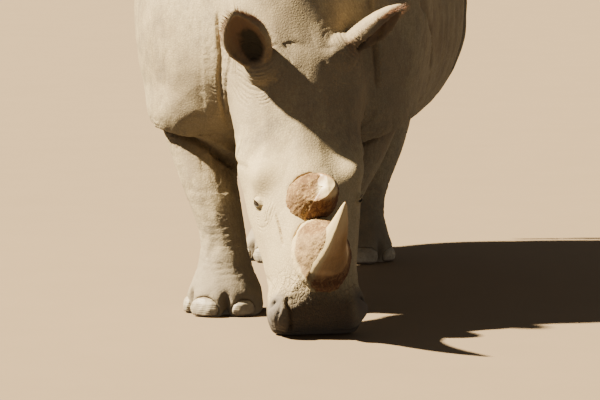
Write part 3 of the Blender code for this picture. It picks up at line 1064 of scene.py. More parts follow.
@dataclass(frozen=True)
class Foot:
    """Where a foot stands and how it turns, for its toes and rings.

    Attributes:
        centre: The middle of its sole.
        turn: How far its toes turn outwards, in degrees.
        ring: Distance between the rings over it.
    """

    centre: tuple[float, float]
    turn: float
    ring: float

    def polar(self, points: np.ndarray) -> tuple[np.ndarray, np.ndarray]:
        """Angle from the foot's front, in degrees, and distance from its middle.

        Args:
            points: One row for each point.

        Returns:
            Both, for each point.
        """
        x, y = points[:, 0] - self.centre[0], points[:, 1] - self.centre[1]
        angle = np.degrees(np.arctan2(x, -y)) - math.copysign(self.turn, self.centre[0])
        return (angle + 180) % 360 - 180, np.hypot(x, y)


FEET = (Foot((0.135, -0.469), 14.0, 0.019), Foot((-0.160, -0.559), 26.0, 0.019),
        Foot((0.152, 0.901), 12.0, 0.021), Foot((-0.152, 0.901), 12.0, 0.021))


class Wrinkles:
    """The fine wrinkles of the hide, added up place by place before they are cut."""

    def __init__(self, head: HeadFrame, points: np.ndarray, on_head: np.ndarray) -> None:
        """Start with smooth skin.

        Args:
            head: The head's axes.
            points: The hide's points.
            on_head: How far each belongs to the head, from 0 to 1.
        """
        self.head = head
        self.points = points
        self.on_head = on_head
        self.local = head.local(points)
        self.level = points * np.array((0.45, 0.45, 1.0))
        self.loose = lattice_noise(points, 0.035, 21)
        self.depth = np.zeros(len(points))

    def cut(self) -> np.ndarray:
        """Add up the wrinkles of every place.

        Returns:
            Their depth at each point.
        """
        for place in (self.body, self.feet, self.shoulders, self.ears, self.eyes, self.horn,
                      self.muzzle, self.face, self.tail):
            place()
        return self.depth

    def body(self) -> None:
        """The body's own net of creases, upright on the flanks and level on the legs."""
        points, (x, s, _) = self.points, self.local.T
        upright = points * np.array((1.0, 1.0, 0.40))
        low = ramp(points[:, 2], 0.62, 0.45)
        net = creased(upright, 0.045, 0.10, 31) * 0.6 + creased(points, 0.026, 0.12, 32) * 0.4
        net = net * (1 - 0.65 * ramp(np.hypot(x, 1.2 * (s - 0.98)), 0.28, 0.18))
        legs = creased(self.level, 0.030, 0.13, 33) * 0.8 + creased(points, 0.016, 0.14, 34) * 0.5
        patchy = 0.35 + 0.65 * ramp(lattice_noise(points, 0.22, 35), -0.6, 0.6)
        self.depth += 0.0016 * (net * (1 - low) * patchy + legs * low) * (1 - self.on_head)

    def feet(self) -> None:
        """Rings over the feet, and the clefts between the toes."""
        points = self.points
        for foot in FEET:
            angle, reach = foot.polar(points)
            near = ramp(reach, 0.26, 0.22)
            height = points[:, 2] + 0.006 * lattice_noise(points, 0.05, 41) + 0.02 * np.cos(np.radians(angle))
            rings = valley(height / foot.ring) * band(points[:, 2], 0.115, 0.300, 0.030)
            rings *= ramp(lattice_noise(self.level, 0.030, 42), -0.9, 0.2)
            self.depth += 0.0036 * rings * near * (0.75 + 0.4 * self.loose)
            for toe in (-34.0, 34.0):
                cleft = np.exp(-((angle - toe) / 6.5) ** 2) * ramp(points[:, 2], 0.098, 0.045)
                self.depth += 0.026 * cleft * near * ramp(reach, 0.05, 0.09)

    def shoulders(self) -> None:
        """Knobbed skin at the shoulders' front, along the edges of their flaps."""
        points = self.points
        knobs = np.maximum(creased(self.level, 0.016, 0.20, 51), creased(points, 0.012, 0.20, 52))
        low = ramp(points[:, 2], 0.93, 0.84)
        for side in Side:
            for fold in SHOULDER_FOLDS[side]:
                away = np.linalg.norm(points[:, None, :] - np.array(fold.line)[None], axis=2).min(axis=1)
                edge = knobs * (ramp(away, 0.080, 0.035) * low)
                self.depth += 0.0042 * edge * (1 - 0.8 * self.on_head)

    def ears(self) -> None:
        """Rings round the ears' stems, and arcs on the head about them."""
        points, x = self.points, self.local[:, 0]
        for side in Side:
            frame = EarFrame(side, self.head)
            across, front, along = frame.local(points).T
            reach = np.hypot(across, front)
            stem = band(along, -0.050, 0.085, 0.020) * ramp(reach, 0.095, 0.070)
            turn = 0.012 * lattice_noise(points, 0.045, 61)
            rings = valley((along + 0.35 * turn) / 0.0110)
            self.depth += 0.0036 * rings * stem * (0.85 + 0.4 * self.loose)
            away = np.linalg.norm(points - np.array(frame.axes()[0]), axis=1)
            arcs = band(away, 0.050, 0.130, 0.016) * self.on_head * (1 - stem)
            if side is Side.LEFT:
                arcs = arcs * ramp(x, 0.066, 0.104)
            self.depth += 0.0034 * valley((away + turn) / 0.0125) * arcs * ramp(self.loose, -0.8, 0.3)

    def eyes(self) -> None:
        """Arcs in front of the eyes."""
        points = self.points
        for side in Side:
            away = self.local - np.array(self.head.eye) * np.array((side.sign, 1, 1))
            reach = np.linalg.norm(away * np.array((1, 1, 1.15)), axis=1)
            ahead = ramp(-away[:, 1], -0.010, 0.030)
            rings = band(reach, 0.036, 0.085, 0.010) * (0.15 + 0.85 * ahead)
            bent = reach + 0.0045 * lattice_noise(points, 0.018, 64) + 0.006 * self.loose
            rings *= ramp(lattice_noise(points, 0.024, 65), -0.75, 0.25)
            self.depth += 0.0030 * valley(bent / 0.0100) * rings

    def horn(self) -> None:
        """Arcs round the base of the front horn."""
        points, (x, s, w) = self.points, self.local.T
        reach = np.hypot(x * 1.15, s - 0.200)
        arcs = band(reach, 0.112, 0.175, 0.016) * ramp(s, 0.20, 0.10) * ramp(w, -0.02, 0.04)
        bent = reach + 0.004 * lattice_noise(points, 0.022, 66) + 0.006 * self.loose
        broken = ramp(lattice_noise(points, 0.03, 67), -0.6, 0.4)
        self.depth += 0.0022 * valley(bent / 0.0125) * arcs * broken

    def muzzle(self) -> None:
        """The muzzle's crossed wrinkles, which leave out the rims of the nostrils."""
        x, s, w = self.local.T
        muzzle = ramp(s, 0.23, 0.12) * ramp(w, -0.03, 0.03) * ramp(s, -0.012, 0.012)
        lobe = np.exp(-((np.abs(x) - 0.140) / 0.032) ** 2 - ((s - 0.065) / 0.045) ** 2)
        muzzle = muzzle * (1 - 0.85 * lobe)
        upward = self.local * np.array((1.0, 0.45, 1.0))
        crossed = np.maximum(creased(upward, 0.0150, 0.16, 71), creased(self.local, 0.0115, 0.16, 72))
        self.depth += 0.0014 * crossed * muzzle * self.on_head

    def face(self) -> None:
        """Light wrinkles over the whole face, and deeper ones along the jaw."""
        local, (_, s, w) = self.local, self.local.T
        upward = local * np.array((1.0, 0.45, 1.0))
        faint = creased(upward, 0.030, 0.10, 73) * ramp(lattice_noise(local, 0.12, 74), -0.3, 0.7)
        self.depth += 0.0011 * faint * self.on_head
        jaw = ramp(w, -0.02, -0.10) * band(s, 0.15, 0.85, 0.08)
        self.depth += 0.0024 * creased(local * np.array((1, 0.5, 1)), 0.028, 0.13, 75) * jaw * self.on_head

    def tail(self) -> None:
        """The tail's rings."""
        x, y, z = self.points.T
        tail = ramp(y, 1.40, 1.44) * ramp(np.abs(x), 0.12, 0.07)
        self.depth += 0.0015 * valley(z / 0.016 + 0.6 * self.loose) * tail * ramp(z, 0.78, 0.85)


@dataclass
class Hide:
    """The one skin over all the flesh, with its folds, lids, nostrils and lips.

    Attributes:
        head: The head's axes.
        cell: Size of the mesh that the skin starts from.
        rounds: How often that mesh is smoothed; a coarser one is smoothed less.
        most_faces: Triangles it may keep.
        eye_radius: Size of the eyeball under the lids.
        lid: Thickness of the skin over each eyeball.
        socket: How far each eyeball stands from the solid eye: outwards, back and up.
        slit: Half length and half height of the opening between the lids.
        slant: How far each opening's front corner is turned up, in degrees.
        gaze: The way each eye looks, found from the skin round it.
        lid_axes: Directions along and across the opening of each eye.
        rims: How near each point of the skin is to an opening's edge, from 0 to 1.
    """

    head: HeadFrame
    cell: float = 0.0052
    rounds: int = 110
    quick_cell: float = 0.0085
    most_faces: int = 195_000
    eye_radius: float = 0.020
    lid: float = 0.0040
    socket: Point = (-0.0055, 0.012, -0.0030)
    slit: tuple[float, float] = (0.0160, 0.0064)
    slant: float = 42.0
    gaze: dict[Side, Vector] = field(default_factory=dict)
    lid_axes: dict[Side, tuple[Vector, Vector]] = field(default_factory=dict)
    rims: np.ndarray = field(default_factory=lambda: np.zeros(0))

    @property
    def nodes(self) -> list[str]:
        """Names of the flesh that the skin stands for.

        Returns:
            The solids' names.
        """
        names = ["trunk", "neck", "head", "tail"]
        for side in Side:
            names.append(f"ear_{side.value}")
            for pair in ("fore", "hind"):
                names += [f"{pair}leg_{side.value}", f"{pair}foot_{side.value}"]
        return names

    def eye_centre(self, side: Side) -> Vector:
        """The middle of one eyeball, sunk a little into its socket."""
        x, s, w = (at + off for at, off in zip(self.head.eye, self.socket))
        return self.head.matrix() @ Vector((x * side.sign, s, w))

    def from_eye(self, side: Side, points: np.ndarray) -> np.ndarray:
        """Distance of each point from the middle of one eyeball."""
        return np.linalg.norm(points - np.array(self.eye_centre(side)), axis=1)

    def fused(self, cell: float) -> Piece:
        """Join copies of the flesh, and balls round eyes and ear roots, into one closed skin.

        Args:
            cell: Size of the skin's mesh.

        Returns:
            The skin.
        """
        bm = bmesh.new()
        for name in self.nodes:
            bm.from_mesh(bpy.data.objects[name].data)
        bmesh.ops.remove_doubles(bm, verts=bm.verts, dist=WELD)
        for side in Side:
            place = Matrix.Translation(self.eye_centre(side))
            bmesh.ops.create_icosphere(bm, subdivisions=4, radius=self.eye_radius + self.lid, matrix=place)
        for root, size in EAR_ROOTS:
            place = self.head.matrix() @ Matrix.Translation(root) @ Matrix.Diagonal((*size, 1.0))
            bmesh.ops.create_icosphere(bm, subdivisions=4, radius=1.0, matrix=place)
        piece = shown("hide", bm)
        fuse(piece, cell)
        piece.data.materials.clear()
        return piece

    def on_head(self, points: np.ndarray) -> np.ndarray:
        """How far each point belongs to the head, from 0 to 1.

        Args:
            points: One row for each point.

        Returns:
            A share for each point.
        """
        local = self.head.local(points)
        share = ramp(local[:, 1], 1.08, 0.92) * ramp(local[:, 2], -0.36, -0.26)
        return share * ramp(np.abs(local[:, 0]), 0.42, 0.34)

    def slack(self, points: np.ndarray) -> np.ndarray:
        """How freely each point is smoothed: most on the barrel, least on ears, eyes and feet.

        Args:
            points: One row for each point.

        Returns:
            A weight from 0 to 1 for each point.
        """
        weight = 1.0 - 0.82 * self.on_head(points)
        weight *= 0.16 + 0.84 * ramp(points[:, 2], 0.42, 0.62)
        tail = ramp(points[:, 1], 1.36, 1.42) * ramp(np.abs(points[:, 0]), 0.16, 0.08)
        weight *= 1 - 0.85 * tail
        for side in Side:
            across, front, along = EarFrame(side, self.head).local(points).T
            near = ramp(np.hypot(across, front), 0.13, 0.09) * ramp(along, -0.01, 0.075)
            weight *= 1 - 0.93 * near * ramp(along, 0.32, 0.30)
            weight *= 0.35 + 0.65 * ramp(self.from_eye(side, points), 0.026, 0.045)
        local = self.head.local(points)
        for side in Side:
            brow = np.linalg.norm(local - np.array((0.132 * side.sign, 0.485, 0.105)), axis=1)
            clear = ramp(self.from_eye(side, points), 0.024, 0.036)
            weight = np.maximum(weight, ramp(brow, 0.095, 0.060) * clear)
        lips = ramp(local[:, 1], 0.16, 0.06) * ramp(local[:, 2], 0.08, 0.02) * self.on_head(points)
        return np.maximum(weight, 0.9 * lips)

    def build(self) -> None:
        """Make and dress the hide."""
        cell = self.cell
        piece = self.fused(cell)
        clay = Clay(piece)
        clay.ease(round(self.rounds * (self.cell / cell) ** 2), self.slack(clay.points))
        self.model(clay)
        clay.split(self.on_head(clay.points) > 0.02)
        for reach in (0.075, 0.045):
            away = np.minimum(*(self.from_eye(side, clay.points) for side in Side))
            clay.split(away < reach)
        clay.ease(3)
        crease = self.creases(clay)
        crease = np.maximum(crease, self.wrinkles(clay))
        self.lids(clay)
        clay.keep("crease", crease)
        self.mark(clay)
        self.thin(piece, crease)
        settled = Clay(piece)
        settled.points[:, 2] = np.maximum(settled.points[:, 2], 0.0)
        settled.write()
        dress(piece, HideFinish().material())
        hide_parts(*self.nodes)

    def model(self, clay: Clay) -> None:
        """Raise and hollow the soft forms on both sides.

        Args:
            clay: The hide.
        """
        amount = np.zeros(len(clay.points))
        for swell in FACE_SWELLS + BODY_SWELLS:
            amount += clay.swell(swell, self.head) + clay.swell(swell.mirrored(), self.head)
        points = clay.points
        low = lattice_noise(points, 0.16, 3) + 0.5 * lattice_noise(points, 0.08, 4)
        amount += 0.0022 * low * ramp(points[:, 2], 0.10, 0.40) * (1 - 0.5 * self.on_head(points))
        ribs = np.sin(points[:, 1] * 2 * math.pi / 0.085 + 2.0 * points[:, 2])
        flank = band(points[:, 1], 0.02, 0.50, 0.10) * band(points[:, 2], 0.72, 1.20, 0.12)
        amount += 0.0012 * ribs * flank * ramp(np.abs(points[:, 0]), 0.30, 0.42)
        clay.push(amount)

    def creases(self, clay: Clay) -> np.ndarray:
        """Press in the folds.

        Args:
            clay: The hide.

        Returns:
            How deep in a fold each point lies, from 0 to 1.
        """
        tree = clay.surface()
        both = LIP_FOLDS + BODY_FOLDS
        folds = list(FACE_FOLDS + both) + [fold.mirrored() for fold in both]
        folds += [fold for side in Side for fold in SHOULDER_FOLDS[side]]
        amount = np.zeros(len(clay.points))
        crease = np.zeros(len(clay.points))
        for seed, fold in enumerate(folds):
            moved = clay.fold(fold, self.head, tree, seed * 7 + 11)
            amount += moved
            crease = np.maximum(crease, np.clip(-moved / 0.012, 0, 1))
        clay.push(amount)
        return crease

    def wrinkles(self, clay: Clay) -> np.ndarray:
        """Cut the fine wrinkles.

        Args:
            clay: The hide.

        Returns:
            How deep in a wrinkle each point lies, from 0 to 1.
        """
        depth = Wrinkles(self.head, clay.points, self.on_head(clay.points)).cut()
        clay.push(-depth)
        return np.clip(depth / 0.0045, 0, 1) * 0.6

    def aim(self, side: Side, clay: Clay) -> tuple[np.ndarray, np.ndarray, np.ndarray]:
        """Find the way one eye looks, from the skin round it, and keep it.

        Args:
            side: Which eye.
            clay: The hide.

        Returns:
            Directions along the eye's opening, across it, and out of it.
        """
        span = self.from_eye(side, clay.points)
        gaze = clay.normals[(span > 0.034) & (span < 0.060)].mean(axis=0)
        gaze /= np.linalg.norm(gaze)
        matrix = np.array(self.head.matrix())[:3, :3]
        long = matrix @ np.array((0.0, 1.0, 0.0))
        long -= gaze * (long @ gaze)
        long /= np.linalg.norm(long)
        short = np.cross(gaze, long)
        short *= np.sign(short @ (matrix @ np.array((0.0, 0.0, 1.0))))
        turn = math.radians(self.slant)
        long, short = (long * math.cos(turn) - short * math.sin(turn),
                       short * math.cos(turn) + long * math.sin(turn))
        self.gaze[side] = Vector(gaze)
        self.lid_axes[side] = (Vector(long), Vector(short))
        return long, short, gaze

    def lids(self, clay: Clay) -> None:
        """Open the lids over each eyeball, with thick rims and a crease behind them.

        Args:
            clay: The hide.
        """
        self.rims = np.zeros(len(clay.points))
        half, tall = self.slit
        for side in Side:
            long, short, gaze = self.aim(side, clay)
            centre = np.array(self.eye_centre(side))
            away = clay.points - centre
            a, b, c = away @ long, away @ short, away @ gaze
            facing = ramp(c, 0.0, 0.010) * (np.hypot(a, b) < 0.05)
            open_to = tall * np.sqrt(np.clip(1 - (a / half) ** 2, 0, 1))
            edge = np.where(np.abs(a) < half, np.abs(b) - open_to, np.hypot(np.abs(a) - half, b))
            inside = ramp(edge, 0.0012, -0.0004) * facing
            # These rims are later painted near black: painted shade round the slit.
            self.rims = np.maximum(self.rims, ramp(edge, 0.0042, 0.0008) * facing)
            rim = np.exp(-((edge - 0.0026) / 0.0020) ** 2) * facing
            upper = ramp(b, -0.001, 0.004)
            furrow = np.exp(-((edge - 0.0125 + 0.004 * (1 - upper)) / 0.0016) ** 2) * facing
            bulge = np.exp(-((edge - 0.007) / 0.005) ** 2) * upper * facing
            lift = 0.0010 * rim + 0.0022 * bulge - 0.0022 * furrow
            clay.points += gaze * lift[:, None]
            sunk = centre + np.outer(a, long) + np.outer(b, short) + gaze * 0.006
            clay.points += (sunk - clay.points) * inside[:, None]
        clay.write()

    def mark(self, clay: Clay) -> None:
        """Mark where the finish changes: ears, lips, the body darker low down, and painted shade and paler
        tones on the head.

        Args:
            clay: The hide.
        """
        points = clay.points
        on_head = self.on_head(points)
        inside, deepest = self.hollows(clay)
        clay.keep("ear", inside)
        x, s, w = self.head.local(points).T
        x = np.abs(x)
        lobe = np.exp(-((x - 0.140) / 0.036) ** 4 - ((s - 0.068) / 0.052) ** 4)
        lips = np.maximum(lobe, ramp(s, 0.055, 0.010)) * on_head * ramp(w, -0.14, -0.08)
        oval = np.exp(-((x - 0.143) / 0.014) ** 2 - ((s - 0.112) / 0.018) ** 2) * 0.4
        clay.keep("lips", np.clip(np.maximum(lips, 0.8 * oval), 0, 1))
        # Painted shade over the muzzle's front and underside, on darker skin at the lips.
        front = ramp(s, 0.135, 0.050) * (1 - 0.9 * lobe) + ramp(w, -0.010, -0.045) * ramp(s, 0.20, 0.10)
        clay.keep("mouth_shade", np.clip(front, 0, 1) * on_head)
        net = ramp(s, 0.24, 0.13) * ramp(w, -0.05, 0.0) * (1 - np.clip(lips * lobe, 0, 1))
        clay.keep("net", net * on_head)
        # Painted shade: the nostril's hole, the eye slits' rims and the ears' deepest hollows are painted
        # near black.
        hole_shade = np.exp(-((x - 0.140) / 0.022) ** 2 - ((s - 0.086) / 0.007) ** 2 - ((w - 0.048) / 0.018) ** 2)
        clay.keep("dark", np.clip(np.maximum(np.maximum(hole_shade * 1.4, self.rims), 2.5 * deepest), 0, 1))
        noise = lattice_noise(points, 0.09, 81) + 0.6 * lattice_noise(points, 0.03, 82)
        # Greyer and darker towards the feet.
        low_darkening = ramp(points[:, 2] + 0.05 * noise, 0.42, 0.10) * (1 - on_head)
        clay.keep("low_darkening", 0.75 * low_darkening)
        # Painted shade high on the head; paler low on the face; the body stays between.
        clay.keep("head_shading", 0.5 * (1 - on_head) + on_head * ramp(s + 0.03 * noise, 0.82, 0.46))

    def hollows(self, clay: Clay) -> tuple[np.ndarray, np.ndarray]:
        """Where the ears are hollow.

        Args:
            clay: The hide.

        Returns:
            The inside of both ears, and its deepest part, from 0 to 1 for each point.
        """
        inside = np.zeros(len(clay.points))
        deepest = np.zeros(len(clay.points))
        for side in Side:
            frame = EarFrame(side, self.head)
            across, front, along = frame.local(clay.points).T
            depth = ramp(front, 0.030, -0.015)
            width = ramp(np.abs(across), 0.072, 0.058) * band(along, 0.055, 0.250, 0.012)
            width *= ramp(front, -0.036, -0.024) * ramp(front, 0.085, 0.070)
            facing = clay.normals @ np.array(frame.axes()[2])
            inside = np.maximum(inside, width * ramp(facing, -0.20, 0.15) * (0.45 + 0.55 * depth))
            # The core is later painted near black: painted shade deep in the ear.
            core = ramp(np.hypot((across + 0.008) / 0.034, (along - 0.108) / 0.060), 1.25, 0.60)
            deepest = np.maximum(deepest, core * width * ramp(front, 0.040, 0.0) * ramp(facing, -0.2, 0.2))
        return inside, deepest

    def thin(self, piece: Piece, crease: np.ndarray) -> None:
        """Thin the mesh to the faces it may keep, most where it is plainest.

        Args:
            piece: The hide.
            crease: How deep in a crease each point lies.
        """
        faces = triangles(piece)
        log.info("before thinning: %d triangles", faces)
        if faces > self.most_faces:
            clay = Clay(piece)
            on_head = self.on_head(clay.points)
            weight = 1.0 - 0.35 * on_head
            weight *= 1.0 - 0.75 * on_head * ramp(crease, 0.30, 0.60)
            for side in Side:
                weight *= ramp(self.from_eye(side, clay.points), 0.022, 0.030)
            clay.weigh("plain", weight)
            thin = piece.modifiers.new("thin", "DECIMATE")
            thin.ratio = self.most_faces / faces
            thin.vertex_group = "plain"
            thin.vertex_group_factor = 0.00008
            apply_modifiers(piece)
            piece.vertex_groups.clear()


# ---- Horns ----
class Station(NamedTuple):
    """One level of a horn: how far back its middle is, its height, and its half sizes."""

    back: float
    height: float
    half_width: float
    half_length: float


FRONT_HORN = (
    Station(0.202, 0.130, 0.088, 0.118), Station(0.202, 0.160, 0.090, 0.121),
    Station(0.198, 0.190, 0.080, 0.105), Station(0.188, 0.225, 0.066, 0.084),
    Station(0.172, 0.280, 0.053, 0.064), Station(0.156, 0.350, 0.042, 0.050),
    Station(0.148, 0.430, 0.032, 0.038), Station(0.150, 0.510, 0.021, 0.026),
    Station(0.158, 0.575, 0.010, 0.013), Station(0.163, 0.602, 0.003, 0.004),
)
REAR_HORN = (
    Station(0.405, 0.125, 0.074, 0.076), Station(0.405, 0.160, 0.077, 0.079),
    Station(0.404, 0.190, 0.070, 0.070), Station(0.402, 0.215, 0.062, 0.060),
    Station(0.400, 0.238, 0.051, 0.048), Station(0.399, 0.254, 0.036, 0.034),
    Station(0.398, 0.262, 0.018, 0.018), Station(0.398, 0.265, 0.006, 0.006),
)
# Height of each horn's worn, ragged edge at turns from its front towards the head's left.
FRONT_WORN = ((-180, 0.340), (-150, 0.380), (-115, 0.425), (-84, 0.425), (-62, 0.395), (-57, 0.330),
              (-52, 0.250), (-42, 0.200), (-26, 0.145), (-14, 0.120), (110, 0.120), (140, 0.220),
              (180, 0.340))
REAR_WORN = ((-180, 0.225), (-140, 0.240), (-90, 0.265), (-34, 0.265), (-22, 0.125), (0, 0.120),
             (130, 0.120), (180, 0.225))


@dataclass(frozen=True)
class HornFinish:
    """Matted fibre: polished and warm on the shaft, worn pale and shaggy round its skirt.

    The piece's attributes say where: "fibre" for the worn skirt, "core" for its browner middle, "lit_polish"
    for the pale polish with a painted highlight on the side towards the light, and "foot" for the dark,
    scabby base with painted shade on the side away from it.
    """

    polished: Colour = (0.430, 0.250, 0.104)
    amber: Colour = (0.150, 0.084, 0.031)
    # Painted highlight over polish, on the horns' sides that face the light.
    highlight_cream: Colour = (0.550, 0.430, 0.225)
    tan: Colour = (0.345, 0.222, 0.084)
    brown: Colour = (0.125, 0.060, 0.018)
    # Painted shade, over a dark base, low on the horns' sides away from the light.
    foot: Colour = (0.062, 0.024, 0.010)

    def material(self) -> bpy.types.Material:
        """The horns' material.

        Returns:
            The material.
        """
        shader, made = Shader.material("horn", 0.5)
        clouds, stains = shader.mottle(shader.place(), 14.0)
        fibre = shader.attribute("fibre")
        lines = shader.noise(shader.strands(), 1.0, 4.0, 0.65)
        thick = shader.noise(shader.place((1.0, 1.0, 0.6)), 60.0, 5.0, 0.72, 0.6)
        shred = shader.noise(shader.place((1.0, 0.45, 0.7)), 210.0, 3.0, 0.6, 0.5)
        worn = shader.mix(shader.step(shred, 0.38, 0.60), self.brown, self.tan)
        worn = shader.mix(shader.step(lines, 0.45, 0.70, 0.0, 0.45), worn, self.brown)
        broad = shader.noise(shader.place((1.0, 1.0, 0.6)), 34.0, 4.0, 0.6, 0.5)
        worn = shader.mix(shader.step(broad, 0.44, 0.60, 0.0, 0.85), worn, self.brown)
        worn = shader.mix(shader.step(thick, 0.50, 0.62, 0.0, 0.60), worn, self.brown)
        worn = shader.mix(shader.times(stains, 0.5), worn, self.amber)
        shaft = shader.mix(shader.step(lines, 0.35, 0.75, 0.0, 0.6), self.polished, self.amber)
        shaft = shader.mix(shader.times(clouds, 0.4), shaft, self.amber)
        core = shader.times(shader.attribute("core"), shader.step(thick, 0.35, 0.60, 0.55, 0.20))
        worn = shader.mix(core, worn, self.amber)
        colour = shader.mix(fibre, shaft, worn)
        # Painted highlight over polish on the sides that face the light.
        lit_polish = shader.times(shader.attribute("lit_polish"), shader.step(lines, 0.2, 0.5, 0.8, 1.0))
        colour = shader.mix(lit_polish, colour, self.highlight_cream)
        # Painted shade low on the side away from the light, over a dark, scabby base.
        foot = shader.math("CLAMPED_MULTIPLY", shader.attribute("foot"),
                           shader.step(thick, 0.40, 0.60, 1.2, 0.55))
        colour = shader.mix(foot, colour, self.foot)
        shader.feed(shader.surface.inputs["Base Color"], colour)
        rough = shader.math("MAXIMUM", fibre, shader.attribute("foot"))
        shader.feed(shader.surface.inputs["Roughness"], shader.step(rough, 0.0, 0.6, 0.45, 0.88))
        height = shader.math("ADD", shader.times(lines, 0.5), shred)
        height = shader.times(height, shader.step(rough, 0.0, 0.6, 0.15, 1.0))
        shader.bump(height, 0.0026, 0.9)
        return made


@dataclass
class Horn:
    """A horn of matted fibre, round its axis in the head's frame.

    Attributes:
        name: The piece's name.
        node: The solid that it stands for.
        stations: Its levels, from its foot up.
        worn: Height of the worn skirt's ragged edge at each turn, in degrees from the horn's
            front towards the head's left.
        lean: How far the axis leans to the left for each metre of height.
        shift: How far it stands off its axis, in the head's frame.
        head: The head's axes.
        stain: How brown the worn side is.
        keel: How sharp the ridge along its front is.
        sides: Points round one ring.
        step: Distance between rings.
    """

    name: str
    node: str
    stations: tuple[Station, ...]
    worn: tuple[tuple[float, float], ...]
    lean: float
    shift: Point
    head: HeadFrame
    stain: float = 1.0
    keel: float = 1.0
    sides: int = 160
    step: float = 0.0026

    def measure(self, name: str, height: np.ndarray) -> np.ndarray:
        """One of the stations' measures, at heights between them.

        Args:
            name: The measure's name in a station.
            height: The heights.

        Returns:
            The measure at each height.
        """
        heights = [station.height for station in self.stations]
        return np.interp(height, heights, [getattr(station, name) for station in self.stations])

    def rings(self) -> list[Matrix]:
        """A matrix for each ring, which makes a unit circle into it.

        Returns:
            The matrices, from the foot up.
        """
        result = []
        for back, height, half in curve_through([Vector(row[:3]) for row in self.stations], self.step):
            long = float(self.measure("half_length", height))
            middle = Matrix.Translation((self.lean * (height - self.stations[1].height), back, height))
            result.append(middle @ Matrix.Diagonal((half, long, 1.0, 1.0)))
        return result

    def build(self) -> None:
        """Make and dress the horn."""
        rings = self.rings()
        bm = bmesh.new()
        made = bmesh.ops.create_circle(bm, segments=self.sides, radius=1.0, matrix=rings[0])
        edges = list(bm.edges)
        bmesh.ops.contextual_create(bm, geom=made["verts"])
        for before, after in zip(rings, rings[1:]):
            grown = bmesh.ops.extrude_edge_only(bm, edges=edges)["geom"]
            verts = [item for item in grown if isinstance(item, bmesh.types.BMVert)]
            edges = [item for item in grown if isinstance(item, bmesh.types.BMEdge)]
            bmesh.ops.transform(bm, matrix=after @ before.inverted(), verts=verts)
        bmesh.ops.pointmerge(bm, verts=verts, merge_co=rings[-1].translation)
        bmesh.ops.recalc_face_normals(bm, faces=bm.faces)
        settle(bm)
        piece = shown(self.name, bm)
        self.wear(Clay(piece))
        piece.data.transform(self.head.matrix() @ Matrix.Translation(self.shift))
        dress(piece, HornFinish().material())
        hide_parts(self.node)

    def wear(self, clay: Clay) -> None:
        """Fray the skirt, furrow the fibres and store where each finish shows.

        Args:
            clay: The horn, still in the head's frame.
        """
        self.chop(clay)
        points = clay.points
        x, s, w = points.T
        half = self.measure("half_width", w)
        across = (x - self.lean * (w - self.stations[1].height)) / half
        front = (self.measure("back", w) - s) / self.measure("half_length", w)
        turn = np.degrees(np.arctan2(across, front))
        low, high = self.stations[0].height, self.stations[-1].height
        rise = np.clip((w - low) / (high - low), 0, 1)
        strands = np.stack((across * 0.09, front * 0.11, w * 0.45), axis=1)
        fine = lattice_noise(strands, 0.0070, 5) + 0.6 * lattice_noise(points, 0.0055, 6)
        knobs = lattice_noise(points, 0.013, 9)
        lumps = lattice_noise(points, 0.028, 10)
        edge = np.interp(turn, [row[0] for row in self.worn], [row[1] for row in self.worn])
        edge = edge + 0.012 * lumps + 0.005 * knobs
        fibre = ramp(w, edge + 0.005, edge - 0.005)
        foot = self.foot(turn, w + 0.006 * lumps) * (1 - fibre)
        keel = 0.09 * np.exp(-((turn + 38) / 14) ** 2) - 0.15 * np.exp(-((turn - 8) / 32) ** 2)
        amount = self.keel * keel * half * band(rise, 0.08, 0.95, 0.10)
        amount += fibre * (0.0035 * ramp(rise, 0.5, 0.1) + 0.0016 * fine + 0.0013 * knobs + 0.0042 * lumps)
        amount += (1 - fibre) * 0.0005 * fine * (1 - rise)
        amount += foot * (0.0012 * fine + 0.0012 * knobs)
        amount *= ramp(rise, 1.0, 0.85)
        clay.push(amount)
        clay.keep("fibre", fibre)
        clay.keep("foot", foot)
        clay.keep("along", rise)
        clay.keep("lit_polish", self.lit_polish(points, turn, rise, fibre))
        clay.keep("core", band(turn, -125.0, -30.0, 18.0) * band(rise, 0.11, 0.60, 0.05) * self.stain)
        clay.keep("strand_a", strands[:, 0])
        clay.keep("strand_b", strands[:, 1])

    def chop(self, clay: Clay) -> None:
        """Leave the horn's top as it grew."""

    def foot(self, turn: np.ndarray, height: np.ndarray) -> np.ndarray:
        """Where the horn's base is darkened, low on its front and left: a dark, scabby base with painted
        shade on the side away from the light.

        Args:
            turn: Degrees from its front towards the head's left.
            height: Height over the head's own axis.

        Returns:
            A value from 0 to 1 for each point.
        """
        return band(turn, -62.0, 130.0, 12.0) * ramp(height, 0.215, 0.180)

    def lit_polish(self, points: np.ndarray, turn: np.ndarray, rise: np.ndarray,
             fibre: np.ndarray) -> np.ndarray:
        """Where the horn is pale: polish with a painted highlight on its keel and its skirt's rim, which face
        the light, and polish at its tip.

        Args:
            points: Not used; the horn's points, in the head's frame.
            turn: Degrees from its front towards the head's left.
            rise: Share of its height.
            fibre: Where the skirt is.

        Returns:
            A value from 0 to 1 for each point.
        """
        keel = band(turn, -125.0, -30.0, 8.0) * (1 - 0.85 * fibre) * ramp(rise, 0.02, 0.10)
        tip = ramp(rise, 0.62, 0.92) * ramp(turn, 75.0, 30.0) * 0.8
        rim = ramp(rise, 0.115, 0.085) * fibre
        return np.maximum(np.maximum(keel, tip), 0.85 * rim)


